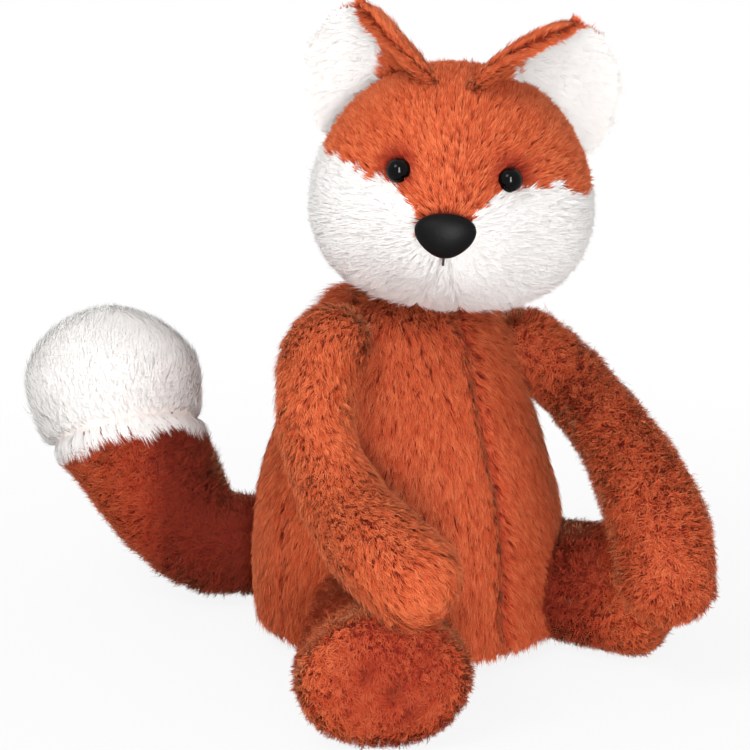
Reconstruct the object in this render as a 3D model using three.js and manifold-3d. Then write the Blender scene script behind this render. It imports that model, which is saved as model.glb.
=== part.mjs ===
// A sitting plush fox, in millimetres, with +Z up.
// The fox faces -Y and its own right side is -X. It sits on z = 0, and its body's upright axis is x = y = 0.
// Every stuffed part is sewn from pile-fabric panels round a fibre filling, and each panel is a piece.

import * as THREE from 'three';
import { mergeVertices } from 'three/addons/utils/BufferGeometryUtils.js';
import Module from 'manifold-3d';

const wasm = await Module();
wasm.setup();
const { Manifold, Mesh } = wasm;

// Driving sizes

const FABRIC = 3.0;          // backing and standing pile of a panel
const SEAM_GAP = 0.3;        // between two panels along a seam
const CLEARANCE = 0.3;       // between pieces that touch
const PAW_CLEARANCE = 1.6;   // between a paw and the leg that slides under it
const FLOOR_CUT = 0.5;       // depth of the flats that the toy stands on
const REACH = 400.0;         // side of the blocks that trim a piece to one side of a plane

const BODY_RADIUS = 61.0;
const BODY_HEIGHT = 140.0;
const BODY_BASE_ROUND = 12.0;
const BODY_TOP_ROUND = 16.0;
const BASE_PANEL_RADIUS = 34.0;
const BASE_PANEL_RISE = 7.0;
const bodyRadiusShares = [1.0, 1.0, 1.0, 0.97, 0.9, 0.8, 0.69, 0.56, 0.45];
const bodySquarenessShares = [3, 2];

const POUCH_HEIGHT = 30.0;
const POUCH_RADIUS = 40.0;
const POUCH_CLOTH = 1.0;
const POUCH_FLOOR = 8.0;     // filling left under the pouch
const POUCH_SLIT = 3.0;      // the gathered neck that the pellets are poured through

const HEAD_HEIGHT = 180.0;   // of its centre, above the floor
const HEAD_FORWARD = 27.0;
const HEAD_HALF_WIDTH = 50.0;
const HEAD_HALF_DEPTH = 47.0;
const HEAD_HALF_HEIGHT = 46.0;
const CHEEK_SWELL = 7.0;
const MUZZLE_SWELL = 9.0;
const HEAD_TURN_DEGREES = -39;
const HEAD_ROLL_DEGREES = 4.5;
const HEAD_NOD_DEGREES = 0;
const MASK_BACK = 8.0;       // how far behind the head's centre the face panels are sewn to the back ones
const MASK_LOW = 3.5;        // where the white mask's edge meets the nose, below the head's centre
const maskRiseShare = 0.3;   // how steeply that edge climbs toward the ears

const EYE_DIAMETER = 9.0;
const EYE_DOME = 4.5;
const EYE_SUNK = 1.0;        // the eye is pulled a little into the pile
const EYE_SPACING = 40.0;
const EYE_ABOVE_CENTRE = 11.0;
const SHANK_DIAMETER = 3.0;
const SHANK_LENGTH = 9.0;
const WASHER_DIAMETER = 12.0;
const WASHER_THICKNESS = 1.5;
const WASHER_SEAT = 2.3;     // lets a flat washer lie inside the curved fabric

const NOSE_WIDTH = 23.0;
const NOSE_HEIGHT = 16.0;
const NOSE_DEPTH = 10.0;
const NOSE_SUNK = 2.5;
const NOSE_BELOW_CENTRE = 9.0;
const noseWideningShare = 0.25;

const STITCH_THREAD = 1.6;
const STITCH_LENGTH = 5.0;

const EAR_HEIGHT = 45.0;
const EAR_WIDTH = 47.0;
const EAR_FABRIC = 3.0;
const EAR_BASE_OUT = 22.0;
const EAR_BASE_UP = 19.5;
const EAR_BASE_BACK = 4.0;
const EAR_CURL_DEGREES = 68;
const EAR_LEAN_DEGREES = 23;
const EAR_BACK_DEGREES = -6;
const EAR_OUT_DEGREES = 46;
const EAR_FOLD_DEGREES = 30;
const earWidthShares = [0.84, 0.96, 1.02, 1.0, 0.9, 0.68, 0.28];
const EAR_HINGE_UP = 22.0;   // the fold line, above the foot of the ear

const SHOULDER_HEIGHT = 120.0;
const SHOULDER_HALF_WIDTH = 31.0;
const SHOULDER_FORWARD = 12.0;
const ARM_LENGTH = 140.0;
const ARM_RADIUS = 15.5;
const ARM_LIFT_DEGREES = 42;
const armWidthShares = [0.95, 1.0, 0.97, 0.98, 1.08, 1.2, 1.22, 1.15];

const HIP_HALF_WIDTH = 30.0;
const HIP_FORWARD = 20.0;
const LEG_LENGTH = 97.0;
const LEG_RADIUS = 22.0;
const SOLE_DEPTH = 11.0;
const LEG_SPLAY_DEGREES = 20;
const legWidthShares = [1.0, 1.0, 1.0, 1.08, 1.3, 1.46];
const legHeightShares = [1.0, 1.0, 1.02, 1.07, 1.16, 1.2];

const TAIL_LENGTH = 160.0;
const TAIL_RADIUS = 20.0;
const TAIL_ROOT_BACK = 50.0;
const TAIL_TIP_LENGTH = 57.0;
const TAIL_SWING_DEGREES = 25;
const TAIL_LIFT = 0.8;       // of its root, clear of the floor
const tailWidthShares = [0.95, 0.97, 1.02, 1.13, 1.34, 1.63, 1.76, 1.72, 1.56];

// How fine the surfaces are

const BODY_SIDES = 24;
const BODY_RINGS = 11;
const POUCH_SIDES = 12;
const LIMB_SIDES = 12;
const LIMB_RINGS = 9;
const HEAD_SIDES = 20;
const HEAD_RINGS = 12;
const BUTTON_SIDES = 12;
const DOME_STEPS = 3;
const EAR_STEPS = 6;
const SWING_STEPS = 3;
const FACE_PASSES = 8;

// Directions

const X = new THREE.Vector3(1, 0, 0);
const Y = new THREE.Vector3(0, 1, 0);
const Z = new THREE.Vector3(0, 0, 1);
const ORIGIN = new THREE.Vector3();
const at = (x, y, z) => new THREE.Vector3(x, y, z);
const against = (direction) => direction.clone().negate();
const radians = THREE.MathUtils.degToRad;

// Finishes

const finish = (color, roughness) => new THREE.MeshStandardMaterial({ color, roughness, metalness: 0 });
const rustPlush = () => finish(0xb9532c, 0.95);
const whitePlush = () => finish(0xf3efec, 0.95);
const fibre = () => finish(0xe8e4da, 1.0);
const cloth = () => finish(0xd8d2c4, 0.9);
const pellets = () => finish(0xc9ccd0, 0.5);
const blackGloss = () => finish(0x0c0b0b, 0.08);
const blackMatte = () => finish(0x141314, 0.5);
const clearPlastic = () => finish(0xe6e6e6, 0.4);
const darkThread = () => finish(0x2a1d18, 0.8);

// Solids and meshes

function solid(geometry) {
  const bare = geometry.clone();
  bare.deleteAttribute('normal');
  bare.deleteAttribute('uv');
  const merged = mergeVertices(bare);
  return new Manifold(new Mesh({
    numProp: 3,
    vertProperties: new Float32Array(merged.attributes.position.array),
    triVerts: new Uint32Array(merged.index.array),
  }));
}

function named(name, form, material) {
  const { vertProperties, triVerts } = form.getMesh();
  const geometry = new THREE.BufferGeometry();
  geometry.setAttribute('position', new THREE.BufferAttribute(new Float32Array(vertProperties), 3));
  geometry.setIndex(new THREE.BufferAttribute(new Uint32Array(triVerts), 1));
  geometry.computeVertexNormals();
  const mesh = new THREE.Mesh(geometry, material);
  mesh.name = name;
  return mesh;
}

function moved(form, matrix) {
  return form.transform(matrix.elements);
}

function turnedAbout(form, pivot, axis, degrees) {
  const turn = new THREE.Matrix4().makeRotationAxis(axis, radians(degrees));
  const there = new THREE.Matrix4().makeTranslation(pivot.x, pivot.y, pivot.z);
  const back = there.clone().invert();
  return moved(form, there.multiply(turn).multiply(back));
}

// The block on the far side of a plane, which stays half a seam's gap clear of it
function beyond(point, normal, gap = SEAM_GAP) {
  const block = new THREE.BoxGeometry(REACH, REACH, REACH);
  block.translate(0, 0, (REACH + gap) / 2);
  block.applyQuaternion(new THREE.Quaternion().setFromUnitVectors(Z, normal.clone().normalize()));
  block.translate(point.x, point.y, point.z);
  return solid(block);
}

const aboveFloor = beyond(ORIGIN, Z, 0);

// A smooth curve through evenly spaced shares, read at 0 to 1
function readShares(shares, t) {
  const curve = new THREE.SplineCurve(shares.map((share, i) => new THREE.Vector2(i, share)));
  return curve.getPoint(THREE.MathUtils.clamp(t, 0, 1)).y;
}

// How much a form has filled out at a distance from its end: 0 at the end and 1 past the rounding
function filledOut(distance, round, squareness) {
  const left = 1 - THREE.MathUtils.clamp(distance / round, 0, 1);
  return Math.pow(1 - Math.pow(left, squareness), 1 / squareness);
}

// A closed grid of rings between two poles
function ringsToGeometry(poles, rings) {
  const sides = rings[0].length;
  const points = [poles[0], ...rings.flat(), poles[1]];
  const last = points.length - 1;
  const index = [];
  for (let j = 0; j < sides; j += 1) {
    const next = (j + 1) % sides;
    const base = 1 + (rings.length - 1) * sides;
    index.push(0, 1 + next, 1 + j);
    index.push(last, base + j, base + next);
  }
  for (let i = 0; i + 1 < rings.length; i += 1) {
    for (let j = 0; j < sides; j += 1) {
      const a = 1 + i * sides + j;
      const b = 1 + i * sides + (j + 1) % sides;
      index.push(a, b, a + sides);
      index.push(b, b + sides, a + sides);
    }
  }
  const geometry = new THREE.BufferGeometry().setFromPoints(points);
  geometry.setIndex(index);
  return geometry;
}

// A stuffed form swept along a path. grow is how far its surface stands outside the fabric's face
function limbSolid(limb, grow = 0) {
  const length = limb.path.getLength();
  const poles = [];
  const rings = [];
  for (let k = 0; k <= LIMB_RINGS; k += 1) {
    const along = (length + 2 * grow) * (1 - Math.cos(Math.PI * k / LIMB_RINGS)) / 2 - grow;
    const t = THREE.MathUtils.clamp(along / length, 0, 1);
    const tangent = limb.path.getTangentAt(t);
    const centre = limb.path.getPointAt(t).addScaledVector(tangent, along - t * length);
    if (k === 0 || k === LIMB_RINGS) {
      poles.push(centre);
      continue;
    }
    const side = new THREE.Vector3().crossVectors(tangent, limb.up).normalize();
    const lift = new THREE.Vector3().crossVectors(side, tangent);
    const full = filledOut(along + grow, limb.rootRound + grow, limb.squareness)
      * filledOut(length + grow - along, limb.tipRound + grow, limb.squareness);
    const halfWidth = (limb.radius * readShares(limb.widthShares, t) + grow) * full;
    const halfHeight = (limb.radius * readShares(limb.heightShares, t) + grow) * full;
    const ring = [];
    for (let j = 0; j < LIMB_SIDES; j += 1) {
      const angle = 2 * Math.PI * j / LIMB_SIDES;
      const point = centre.clone().addScaledVector(side, -halfWidth * Math.cos(angle));
      ring.push(point.addScaledVector(lift, halfHeight * Math.sin(angle)));
    }
    rings.push(ring);
  }
  return solid(ringsToGeometry(poles, rings));
}

function pathFrom(root, length, shares) {
  return new THREE.CatmullRomCurve3(shares.map((share) => at(...share).multiplyScalar(length).add(root)));
}

// The layers of a stuffed form: its fabric, its filling, and the space that others leave round it.
// Where dent is given, the form is pressed in by what lies against it, and its fabric follows the hollow
function layersOf(makeSolid, dent) {
  const pressed = (grow) => (dent ? makeSolid(grow).subtract(dent(-grow)) : makeSolid(grow));
  return {
    skin: pressed(0).subtract(pressed(-FABRIC)),
    filling: pressed(-FABRIC - 2 * CLEARANCE),
    envelope: makeSolid(CLEARANCE),
  };
}

// The space that a piece takes as it turns through its range, or that a still neighbour takes
// as seen from the piece, where way is -1
function sweptThrough(form, hinge, way = 1) {
  let swept = form;
  for (let k = 1; k <= SWING_STEPS; k += 1) {
    swept = swept.add(turnedAbout(form, hinge.pivot, hinge.axis, way * hinge.range * k / SWING_STEPS));
  }
  return swept;
}

function withoutSpace(layers, space) {
  return { ...layers, skin: layers.skin.subtract(space), filling: layers.filling.subtract(space) };
}

// Body

function bodySolid(grow = 0) {
  const outline = [];
  const total = BODY_HEIGHT + FLOOR_CUT;
  for (let k = 0; k <= BODY_RINGS; k += 1) {
    const along = (total + 2 * grow) * (1 - Math.cos(Math.PI * k / BODY_RINGS)) / 2 - grow;
    const full = filledOut(along + grow, BODY_BASE_ROUND + grow, bodySquarenessShares[0])
      * filledOut(total + grow - along, BODY_TOP_ROUND + grow, bodySquarenessShares[1]);
    const radius = (BODY_RADIUS * readShares(bodyRadiusShares, along / total) + grow) * full;
    outline.push(new THREE.Vector2(k === 0 || k === BODY_RINGS ? 0 : radius, along - FLOOR_CUT));
  }
  const form = new THREE.LatheGeometry(outline, BODY_SIDES);
  form.rotateX(Math.PI / 2);
  return solid(form);
}

const body = layersOf(bodySolid);

// The space round the body in every direction that a piece on top of it may turn to
function bodySwept() {
  const allRound = 1 / Math.cos(Math.PI / BODY_SIDES);
  return bodySolid(CLEARANCE).scale([allRound, allRound, 1]);
}

function uprightBar(radius, bottom, top) {
  const bar = new THREE.CylinderGeometry(radius, radius, top - bottom, BODY_SIDES);
  bar.rotateX(Math.PI / 2);
  bar.translate(0, 0, (bottom + top) / 2);
  return solid(bar);
}

// The sewn bag of pellets in the seat
function pouchSolid(grow = 0) {
  const bag = new THREE.SphereGeometry(1, POUCH_SIDES, POUCH_SIDES / 2);
  bag.rotateX(Math.PI / 2);
  bag.scale(POUCH_RADIUS + grow, POUCH_RADIUS + grow, POUCH_HEIGHT / 2 + grow);
  bag.translate(0, 0, POUCH_FLOOR + POUCH_HEIGHT / 2);
  return solid(bag);
}

function makeBody() {
  const group = new THREE.Group();
  const skin = body.skin.intersect(aboveFloor);
  const base = skin.intersect(uprightBar(BASE_PANEL_RADIUS, -FLOOR_CUT, BASE_PANEL_RISE));
  const wall = skin.subtract(uprightBar(BASE_PANEL_RADIUS + SEAM_GAP, -BODY_BASE_ROUND, BASE_PANEL_RISE));
  group.add(named('base_panel', base, rustPlush()));
  for (const [sideName, side] of [['right', against(X)], ['left', X]]) {
    for (const [faceName, face] of [['front', against(Y)], ['back', Y]]) {
      const panel = wall.intersect(beyond(ORIGIN, side)).intersect(beyond(ORIGIN, face));
      group.add(named(`body_${faceName}_${sideName}_panel`, panel, rustPlush()));
    }
  }
  const middle = POUCH_FLOOR + POUCH_HEIGHT / 2;
  const neck = uprightBar(POUCH_SLIT / 2, middle, middle + POUCH_HEIGHT);
  const pouch = pouchSolid().subtract(pouchSolid(-POUCH_CLOTH)).subtract(neck);
  group.add(named('bead_pouch', pouch, cloth()));
  group.add(named('bead_fill', pouchSolid(-POUCH_CLOTH - CLEARANCE), pellets()));
  const drawstringHole = uprightBar(POUCH_SLIT / 2, middle, BODY_HEIGHT);
  const filling = body.filling.subtract(pouchSolid(CLEARANCE)).subtract(drawstringHole);
  group.add(named('body_stuffing', filling, fibre()));
  return group;
}

// Head, in a frame of its own: centred on the head and facing -Y

const headPlace = new THREE.Matrix4().compose(
  at(0, -HEAD_FORWARD, HEAD_HEIGHT),
  new THREE.Quaternion().setFromEuler(new THREE.Euler(
    radians(HEAD_NOD_DEGREES),
    radians(HEAD_ROLL_DEGREES),
    radians(HEAD_TURN_DEGREES),
    'ZYX',
  )),
  at(1, 1, 1),
);

const cheekToward = at(0.8, -0.35, -0.45).normalize();
const headSwells = [
  { toward: cheekToward, height: CHEEK_SWELL, spread: 0.6 },
  { toward: cheekToward.clone().multiply(at(-1, 1, 1)), height: CHEEK_SWELL, spread: 0.6 },
  { toward: at(0, -1, -0.3).normalize(), height: MUZZLE_SWELL, spread: 0.45 },
];

// Distance from the head's centre to its surface, in a unit direction
function headReach(direction) {
  let reach = 1 / Math.hypot(
    direction.x / HEAD_HALF_WIDTH,
    direction.y / HEAD_HALF_DEPTH,
    direction.z / HEAD_HALF_HEIGHT,
  );
  for (const swell of headSwells) {
    reach += swell.height * Math.exp(-Math.pow(direction.angleTo(swell.toward) / swell.spread, 2));
  }
  return reach;
}

function headSolid(grow = 0) {
  const ball = new THREE.SphereGeometry(1, HEAD_SIDES, HEAD_RINGS);
  ball.rotateX(Math.PI / 2);
  const places = ball.attributes.position;
  for (let i = 0; i < places.count; i += 1) {
    const direction = new THREE.Vector3().fromBufferAttribute(places, i).normalize();
    direction.multiplyScalar(headReach(direction) + grow);
    places.setXYZ(i, direction.x, direction.y, direction.z);
  }
  return solid(ball);
}

// Where the face lies behind a point of its flat front view
function onFace(x, z) {
  const place = at(x, -HEAD_HALF_DEPTH, z);
  for (let k = 0; k < FACE_PASSES; k += 1) {
    const reach = headReach(place.clone().normalize());
    place.y = -Math.sqrt(reach * reach - x * x - z * z);
  }
  return place;
}

// Stands a piece made along +Z on a place, pointing outward
function standing(geometry, place, outward) {
  geometry.applyQuaternion(new THREE.Quaternion().setFromUnitVectors(Z, outward));
  geometry.translate(place.x, place.y, place.z);
  return solid(geometry);
}

// Every button sits at a place on the face, with a shank through the fabric and a washer behind it

function faceSeat(x, z) {
  const span = WASHER_DIAMETER / 2;
  const across = onFace(x + span, z).sub(onFace(x - span, z));
  const upward = onFace(x, z + span).sub(onFace(x, z - span));
  return { place: onFace(x, z), outward: across.cross(upward).normalize() };
}

const eyeSeat = (side) => faceSeat(side * EYE_SPACING / 2, EYE_ABOVE_CENTRE);
const noseSeat = faceSeat(0, -NOSE_BELOW_CENTRE);

function shankSolid(seat, grow = 0) {
  const radius = SHANK_DIAMETER / 2 + grow;
  const shank = new THREE.CylinderGeometry(radius, radius, SHANK_LENGTH + grow, BUTTON_SIDES / 2);
  shank.rotateX(Math.PI / 2);
  shank.translate(0, 0, -(SHANK_LENGTH + grow) / 2);
  return standing(shank, seat.place, seat.outward);
}

// A disc under the fabric. The room for it reaches out to the fabric's face
function washerSolid(seat, grow = 0) {
  const top = grow > 0 ? 0 : -FABRIC - CLEARANCE - WASHER_SEAT;
  const bottom = -FABRIC - CLEARANCE - WASHER_SEAT - WASHER_THICKNESS - grow;
  const radius = WASHER_DIAMETER / 2 + grow;
  const disc = new THREE.CylinderGeometry(radius, radius, top - bottom, BUTTON_SIDES);
  disc.rotateX(Math.PI / 2);
  disc.translate(0, 0, (top + bottom) / 2);
  return standing(disc, seat.place, seat.outward);
}

function eyeSolid(side, grow = 0) {
  const outline = [new THREE.Vector2(0, -EYE_SUNK - grow)];
  for (let k = 0; k < DOME_STEPS; k += 1) {
    const angle = Math.PI / 2 * k / DOME_STEPS;
    const radius = (EYE_DIAMETER / 2 + grow) * Math.cos(angle);
    outline.push(new THREE.Vector2(radius, -EYE_SUNK - grow + (EYE_DOME + 2 * grow) * Math.sin(angle)));
  }
  outline.push(new THREE.Vector2(0, EYE_DOME - EYE_SUNK + grow));
  const form = new THREE.LatheGeometry(outline, BUTTON_SIDES);
  form.rotateX(Math.PI / 2);
  const seat = eyeSeat(side);
  return standing(form, seat.place, seat.outward).add(shankSolid(seat, grow));
}

// A rounded shield, wide at the top
function noseSolid(grow = 0) {
  const pad = new THREE.SphereGeometry(1, BUTTON_SIDES, BUTTON_SIDES / 2);
  pad.rotateX(Math.PI / 2);
  const places = pad.attributes.position;
  for (let i = 0; i < places.count; i += 1) {
    const up = places.getY(i);
    places.setX(i, places.getX(i) * (1 + noseWideningShare * up) * (NOSE_WIDTH / 2 + grow));
    places.setY(i, up * (NOSE_HEIGHT / 2 + grow));
    places.setZ(i, (places.getZ(i) + 1) * (NOSE_DEPTH / 2 + grow) - NOSE_SUNK - grow);
  }
  return standing(pad, noseSeat.place, noseSeat.outward).add(shankSolid(noseSeat, grow));
}

// A stitch from the nose down to the mouth, pulled halfway into the pile
function mouthStitch(grow = 0) {
  const top = onFace(0, -NOSE_BELOW_CENTRE - NOSE_HEIGHT / 2 - STITCH_THREAD);
  const foot = onFace(0, top.z - STITCH_LENGTH);
  const along = top.clone().sub(foot).normalize();
  const radius = STITCH_THREAD / 2 + grow;
  const thread = new THREE.CapsuleGeometry(radius, STITCH_LENGTH, DOME_STEPS, BUTTON_SIDES / 2);
  thread.rotateX(Math.PI / 2);
  return standing(thread, top.add(foot).divideScalar(2), along);
}

// Ears: two cupped panels each, curled round an upright line, with the white one in front

function earPanel(near, far) {
  const curl = radians(EAR_CURL_DEGREES);
  const layer = (offset) => {
    const points = [];
    for (let i = 0; i <= EAR_STEPS; i += 1) {
      const bend = EAR_WIDTH / 2 * readShares(earWidthShares, i / EAR_STEPS) / Math.sin(curl);
      for (let j = 0; j <= EAR_STEPS; j += 1) {
        const angle = curl * (2 * j / EAR_STEPS - 1);
        const out = bend + offset;
        points.push(at(out * Math.sin(angle), out * Math.cos(angle) - bend, EAR_HEIGHT * i / EAR_STEPS));
      }
    }
    return points;
  };
  const row = EAR_STEPS + 1;
  const count = row * row;
  const index = [];
  const quad = (a, b, c, d) => index.push(a, b, c, a, c, d);
  for (let i = 0; i < EAR_STEPS; i += 1) {
    for (let j = 0; j < EAR_STEPS; j += 1) {
      const a = i * row + j;
      quad(a, a + 1, a + 1 + row, a + row);
      quad(count + a, count + a + row, count + a + row + 1, count + a + 1);
    }
  }
  for (let k = 0; k < EAR_STEPS; k += 1) {
    const top = EAR_STEPS * row + k;
    const left = k * row;
    const right = left + EAR_STEPS;
    quad(k, count + k, count + k + 1, k + 1);
    quad(top, top + 1, count + top + 1, count + top);
    quad(left, left + row, count + left + row, count + left);
    quad(right, count + right, count + right + row, right + row);
  }
  const geometry = new THREE.BufferGeometry().setFromPoints([...layer(near), ...layer(far)]);
  geometry.setIndex(index);
  return geometry;
}

function earPlace(side) {
  const turn = new THREE.Quaternion().setFromEuler(new THREE.Euler(
    radians(EAR_BACK_DEGREES),
    radians(side * EAR_LEAN_DEGREES),
    radians(side * EAR_OUT_DEGREES),
    'YXZ',
  ));
  return new THREE.Matrix4().compose(at(side * EAR_BASE_OUT, EAR_BASE_BACK, EAR_BASE_UP), turn, at(1, 1, 1));
}

function makeEar(sideName, side, headEnvelope) {
  const group = new THREE.Group();
  const place = earPlace(side);
  group.applyMatrix4(place);
  const hinge = { pivot: at(0, 2 * EAR_FABRIC, EAR_HINGE_UP), axis: against(X), range: EAR_FOLD_DEGREES };
  const space = sweptThrough(moved(headEnvelope, place.clone().invert()), hinge, -1);
  const front = solid(earPanel(0, EAR_FABRIC)).subtract(space);
  const back = solid(earPanel(EAR_FABRIC + SEAM_GAP, 2 * EAR_FABRIC + SEAM_GAP)).subtract(space);
  group.add(named(`${sideName}_ear_front_panel`, front, whitePlush()));
  group.add(named(`${sideName}_ear_back_panel`, back, rustPlush()));
  return group;
}

function makeHead() {
  const group = new THREE.Group();
  group.applyMatrix4(headPlace);
  const layers = layersOf(headSolid);
  const neckSpace = moved(bodySwept(), headPlace.clone().invert());
  const features = [eyeSolid(-1, CLEARANCE), eyeSolid(1, CLEARANCE), noseSolid(CLEARANCE)];
  features.push(mouthStitch(CLEARANCE));
  let skin = layers.skin.subtract(neckSpace);
  let filling = layers.filling.subtract(neckSpace);
  for (const button of features) {
    skin = skin.subtract(button);
    filling = filling.subtract(button);
  }
  const seats = { right_eye: eyeSeat(-1), left_eye: eyeSeat(1), nose: noseSeat };
  for (const [name, seat] of Object.entries(seats)) {
    filling = filling.subtract(washerSolid(seat, CLEARANCE));
    const washer = washerSolid(seat).subtract(shankSolid(seat, CLEARANCE));
    group.add(named(`${name}_washer`, washer, clearPlastic()));
  }
  group.add(named('right_eye', eyeSolid(-1), blackGloss()));
  group.add(named('left_eye', eyeSolid(1), blackGloss()));
  group.add(named('nose', noseSolid(), blackMatte()));
  group.add(named('mouth_stitch', mouthStitch(), darkThread()));
  group.add(named('head_stuffing', filling, fibre()));

  const mask = at(0, MASK_BACK, 0);
  const face = skin.intersect(beyond(mask, against(Y)));
  const back = skin.intersect(beyond(mask, Y));
  const edgePoint = at(0, 0, -MASK_LOW);
  let forehead = face;
  for (const [sideName, side] of [['right', -1], ['left', 1]]) {
    const outward = X.clone().multiplyScalar(side);
    const under = at(side * maskRiseShare, 0, -1);
    const cheek = (gap) => beyond(edgePoint, under, gap).intersect(beyond(ORIGIN, outward, gap));
    group.add(named(`${sideName}_cheek_panel`, face.intersect(cheek(SEAM_GAP)), whitePlush()));
    group.add(named(`head_back_${sideName}_panel`, back.intersect(beyond(ORIGIN, outward)), rustPlush()));
    forehead = forehead.subtract(cheek(-SEAM_GAP));
  }
  group.add(named('forehead_panel', forehead, rustPlush()));
  for (const [sideName, side] of [['right', -1], ['left', 1]]) {
    group.add(makeEar(sideName, side, layers.envelope));
  }
  return group;
}

// Legs: bent a little at the knee and lying along the floor, with a broad foot whose sole faces out

const legBends = {
  right: [[0, 0], [-0.23, -0.29], [-0.4, -0.553], [-0.568, -0.824]],
  left: [[0.04, 0.08], [0.13, -0.2], [0.245, -0.42], [0.37, -0.62]],
};

function legLimb(sideName, side) {
  const bends = legBends[sideName];
  const root = at(side * HIP_HALF_WIDTH, -HIP_FORWARD, 0);
  const points = bends.map(([x, y], i) => {
    const height = LEG_RADIUS * readShares(legHeightShares, i / (bends.length - 1)) - FLOOR_CUT;
    return at(x * LEG_LENGTH, y * LEG_LENGTH, height).add(root);
  });
  return {
    path: new THREE.CatmullRomCurve3(points),
    up: Z,
    radius: LEG_RADIUS,
    widthShares: legWidthShares,
    heightShares: legHeightShares,
    rootRound: LEG_RADIUS / 2,
    tipRound: SOLE_DEPTH,
    squareness: 2.6,
  };
}

function hipHinge(side) {
  const pivot = at(side * (HIP_HALF_WIDTH + LEG_RADIUS), -HIP_FORWARD, LEG_RADIUS);
  return { pivot, axis: Z.clone().multiplyScalar(side), range: LEG_SPLAY_DEGREES };
}

function makeLeg(sideName, side) {
  const group = new THREE.Group();
  const limb = legLimb(sideName, side);
  const space = sweptThrough(body.envelope, hipHinge(side), -1);
  const layers = withoutSpace(layersOf((grow) => limbSolid(limb, grow)), space);
  const skin = layers.skin.intersect(aboveFloor);
  const toe = limb.path.getPointAt(1);
  const ahead = limb.path.getTangentAt(1).setZ(0).normalize();
  const soleEdge = toe.clone().addScaledVector(ahead, -SOLE_DEPTH);
  const tube = skin.intersect(beyond(soleEdge, against(ahead)));
  const seam = at(0, 0, LEG_RADIUS);
  group.add(named(`${sideName}_sole_panel`, skin.intersect(beyond(soleEdge, ahead)), rustPlush()));
  group.add(named(`${sideName}_leg_upper_panel`, tube.intersect(beyond(seam, Z)), rustPlush()));
  group.add(named(`${sideName}_leg_under_panel`, tube.intersect(beyond(seam, against(Z))), rustPlush()));
  const filling = layers.filling.intersect(beyond(at(0, 0, FABRIC), Z));
  group.add(named(`${sideName}_leg_stuffing`, filling, fibre()));
  return group;
}

// Arms: long, hanging forward from the shoulder to a fuller paw

const armPaths = {
  right: [[0, 0, 0.04], [-0.14, -0.03, 0.015], [-0.234, -0.13, -0.155], [-0.279, -0.321, -0.32],
    [-0.295, -0.526, -0.397], [-0.262, -0.71, -0.47]],
  left: [[0, 0, 0], [0.145, -0.158, -0.152], [0.137, -0.354, -0.256], [0.08, -0.53, -0.36],
    [0.042, -0.645, -0.475], [0.004, -0.72, -0.68]],
};

function armLimb(sideName, side) {
  const root = at(side * SHOULDER_HALF_WIDTH, -SHOULDER_FORWARD, SHOULDER_HEIGHT);
  return {
    path: pathFrom(root, ARM_LENGTH, armPaths[sideName]),
    up: X,
    radius: ARM_RADIUS,
    widthShares: armWidthShares,
    heightShares: armWidthShares,
    rootRound: ARM_RADIUS,
    tipRound: ARM_RADIUS,
    squareness: 2,
  };
}

function shoulderHinge(side) {
  const pivot = at(side * SHOULDER_HALF_WIDTH, -SHOULDER_FORWARD, SHOULDER_HEIGHT);
  return { pivot, axis: against(X), range: ARM_LIFT_DEGREES };
}

function makeArm(sideName, side) {
  const group = new THREE.Group();
  const limb = armLimb(sideName, side);
  const leg = legLimb(sideName, side);
  const dent = (depth) => sweptThrough(limbSolid(leg, PAW_CLEARANCE + depth), hipHinge(side));
  const space = sweptThrough(body.envelope, shoulderHinge(side), -1);
  const layers = withoutSpace(layersOf((grow) => limbSolid(limb, grow), dent), space);
  const shoulder = limb.path.getPointAt(0);
  const elbow = limb.path.getPointAt(1 / 2);
  const paw = limb.path.getPointAt(1);
  const outward = elbow.clone().sub(shoulder).cross(paw.clone().sub(shoulder)).normalize();
  outward.multiplyScalar(Math.sign(outward.x) * side);
  for (const [faceName, face] of [['outer', outward], ['inner', against(outward)]]) {
    const panel = layers.skin.intersect(beyond(elbow, face));
    group.add(named(`${sideName}_arm_${faceName}_panel`, panel, rustPlush()));
  }
  group.add(named(`${sideName}_arm_stuffing`, layers.filling, fibre()));
  return group;
}

// Tail: lies round the body's right side, then turns up into a white ball of a tip

const tailBends = [[0, 0, 0], [-0.2, 0.08, 0.005], [-0.31, 0.145, 0.025], [-0.375, 0.205, 0.11],
  [-0.405, 0.255, 0.225], [-0.445, 0.305, 0.4], [-0.455, 0.325, 0.612]];

const tailLimb = {
  path: pathFrom(at(0, TAIL_ROOT_BACK, TAIL_RADIUS + TAIL_LIFT), TAIL_LENGTH, tailBends),
  up: Y,
  radius: TAIL_RADIUS,
  widthShares: tailWidthShares,
  heightShares: tailWidthShares,
  rootRound: TAIL_RADIUS / 2,
  tipRound: TAIL_RADIUS * 1.5,
  squareness: 2,
};

const tailHinge = {
  pivot: at(TAIL_RADIUS / 2, TAIL_ROOT_BACK + TAIL_RADIUS / 2, TAIL_RADIUS),
  axis: against(Z),
  range: TAIL_SWING_DEGREES,
};

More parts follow.
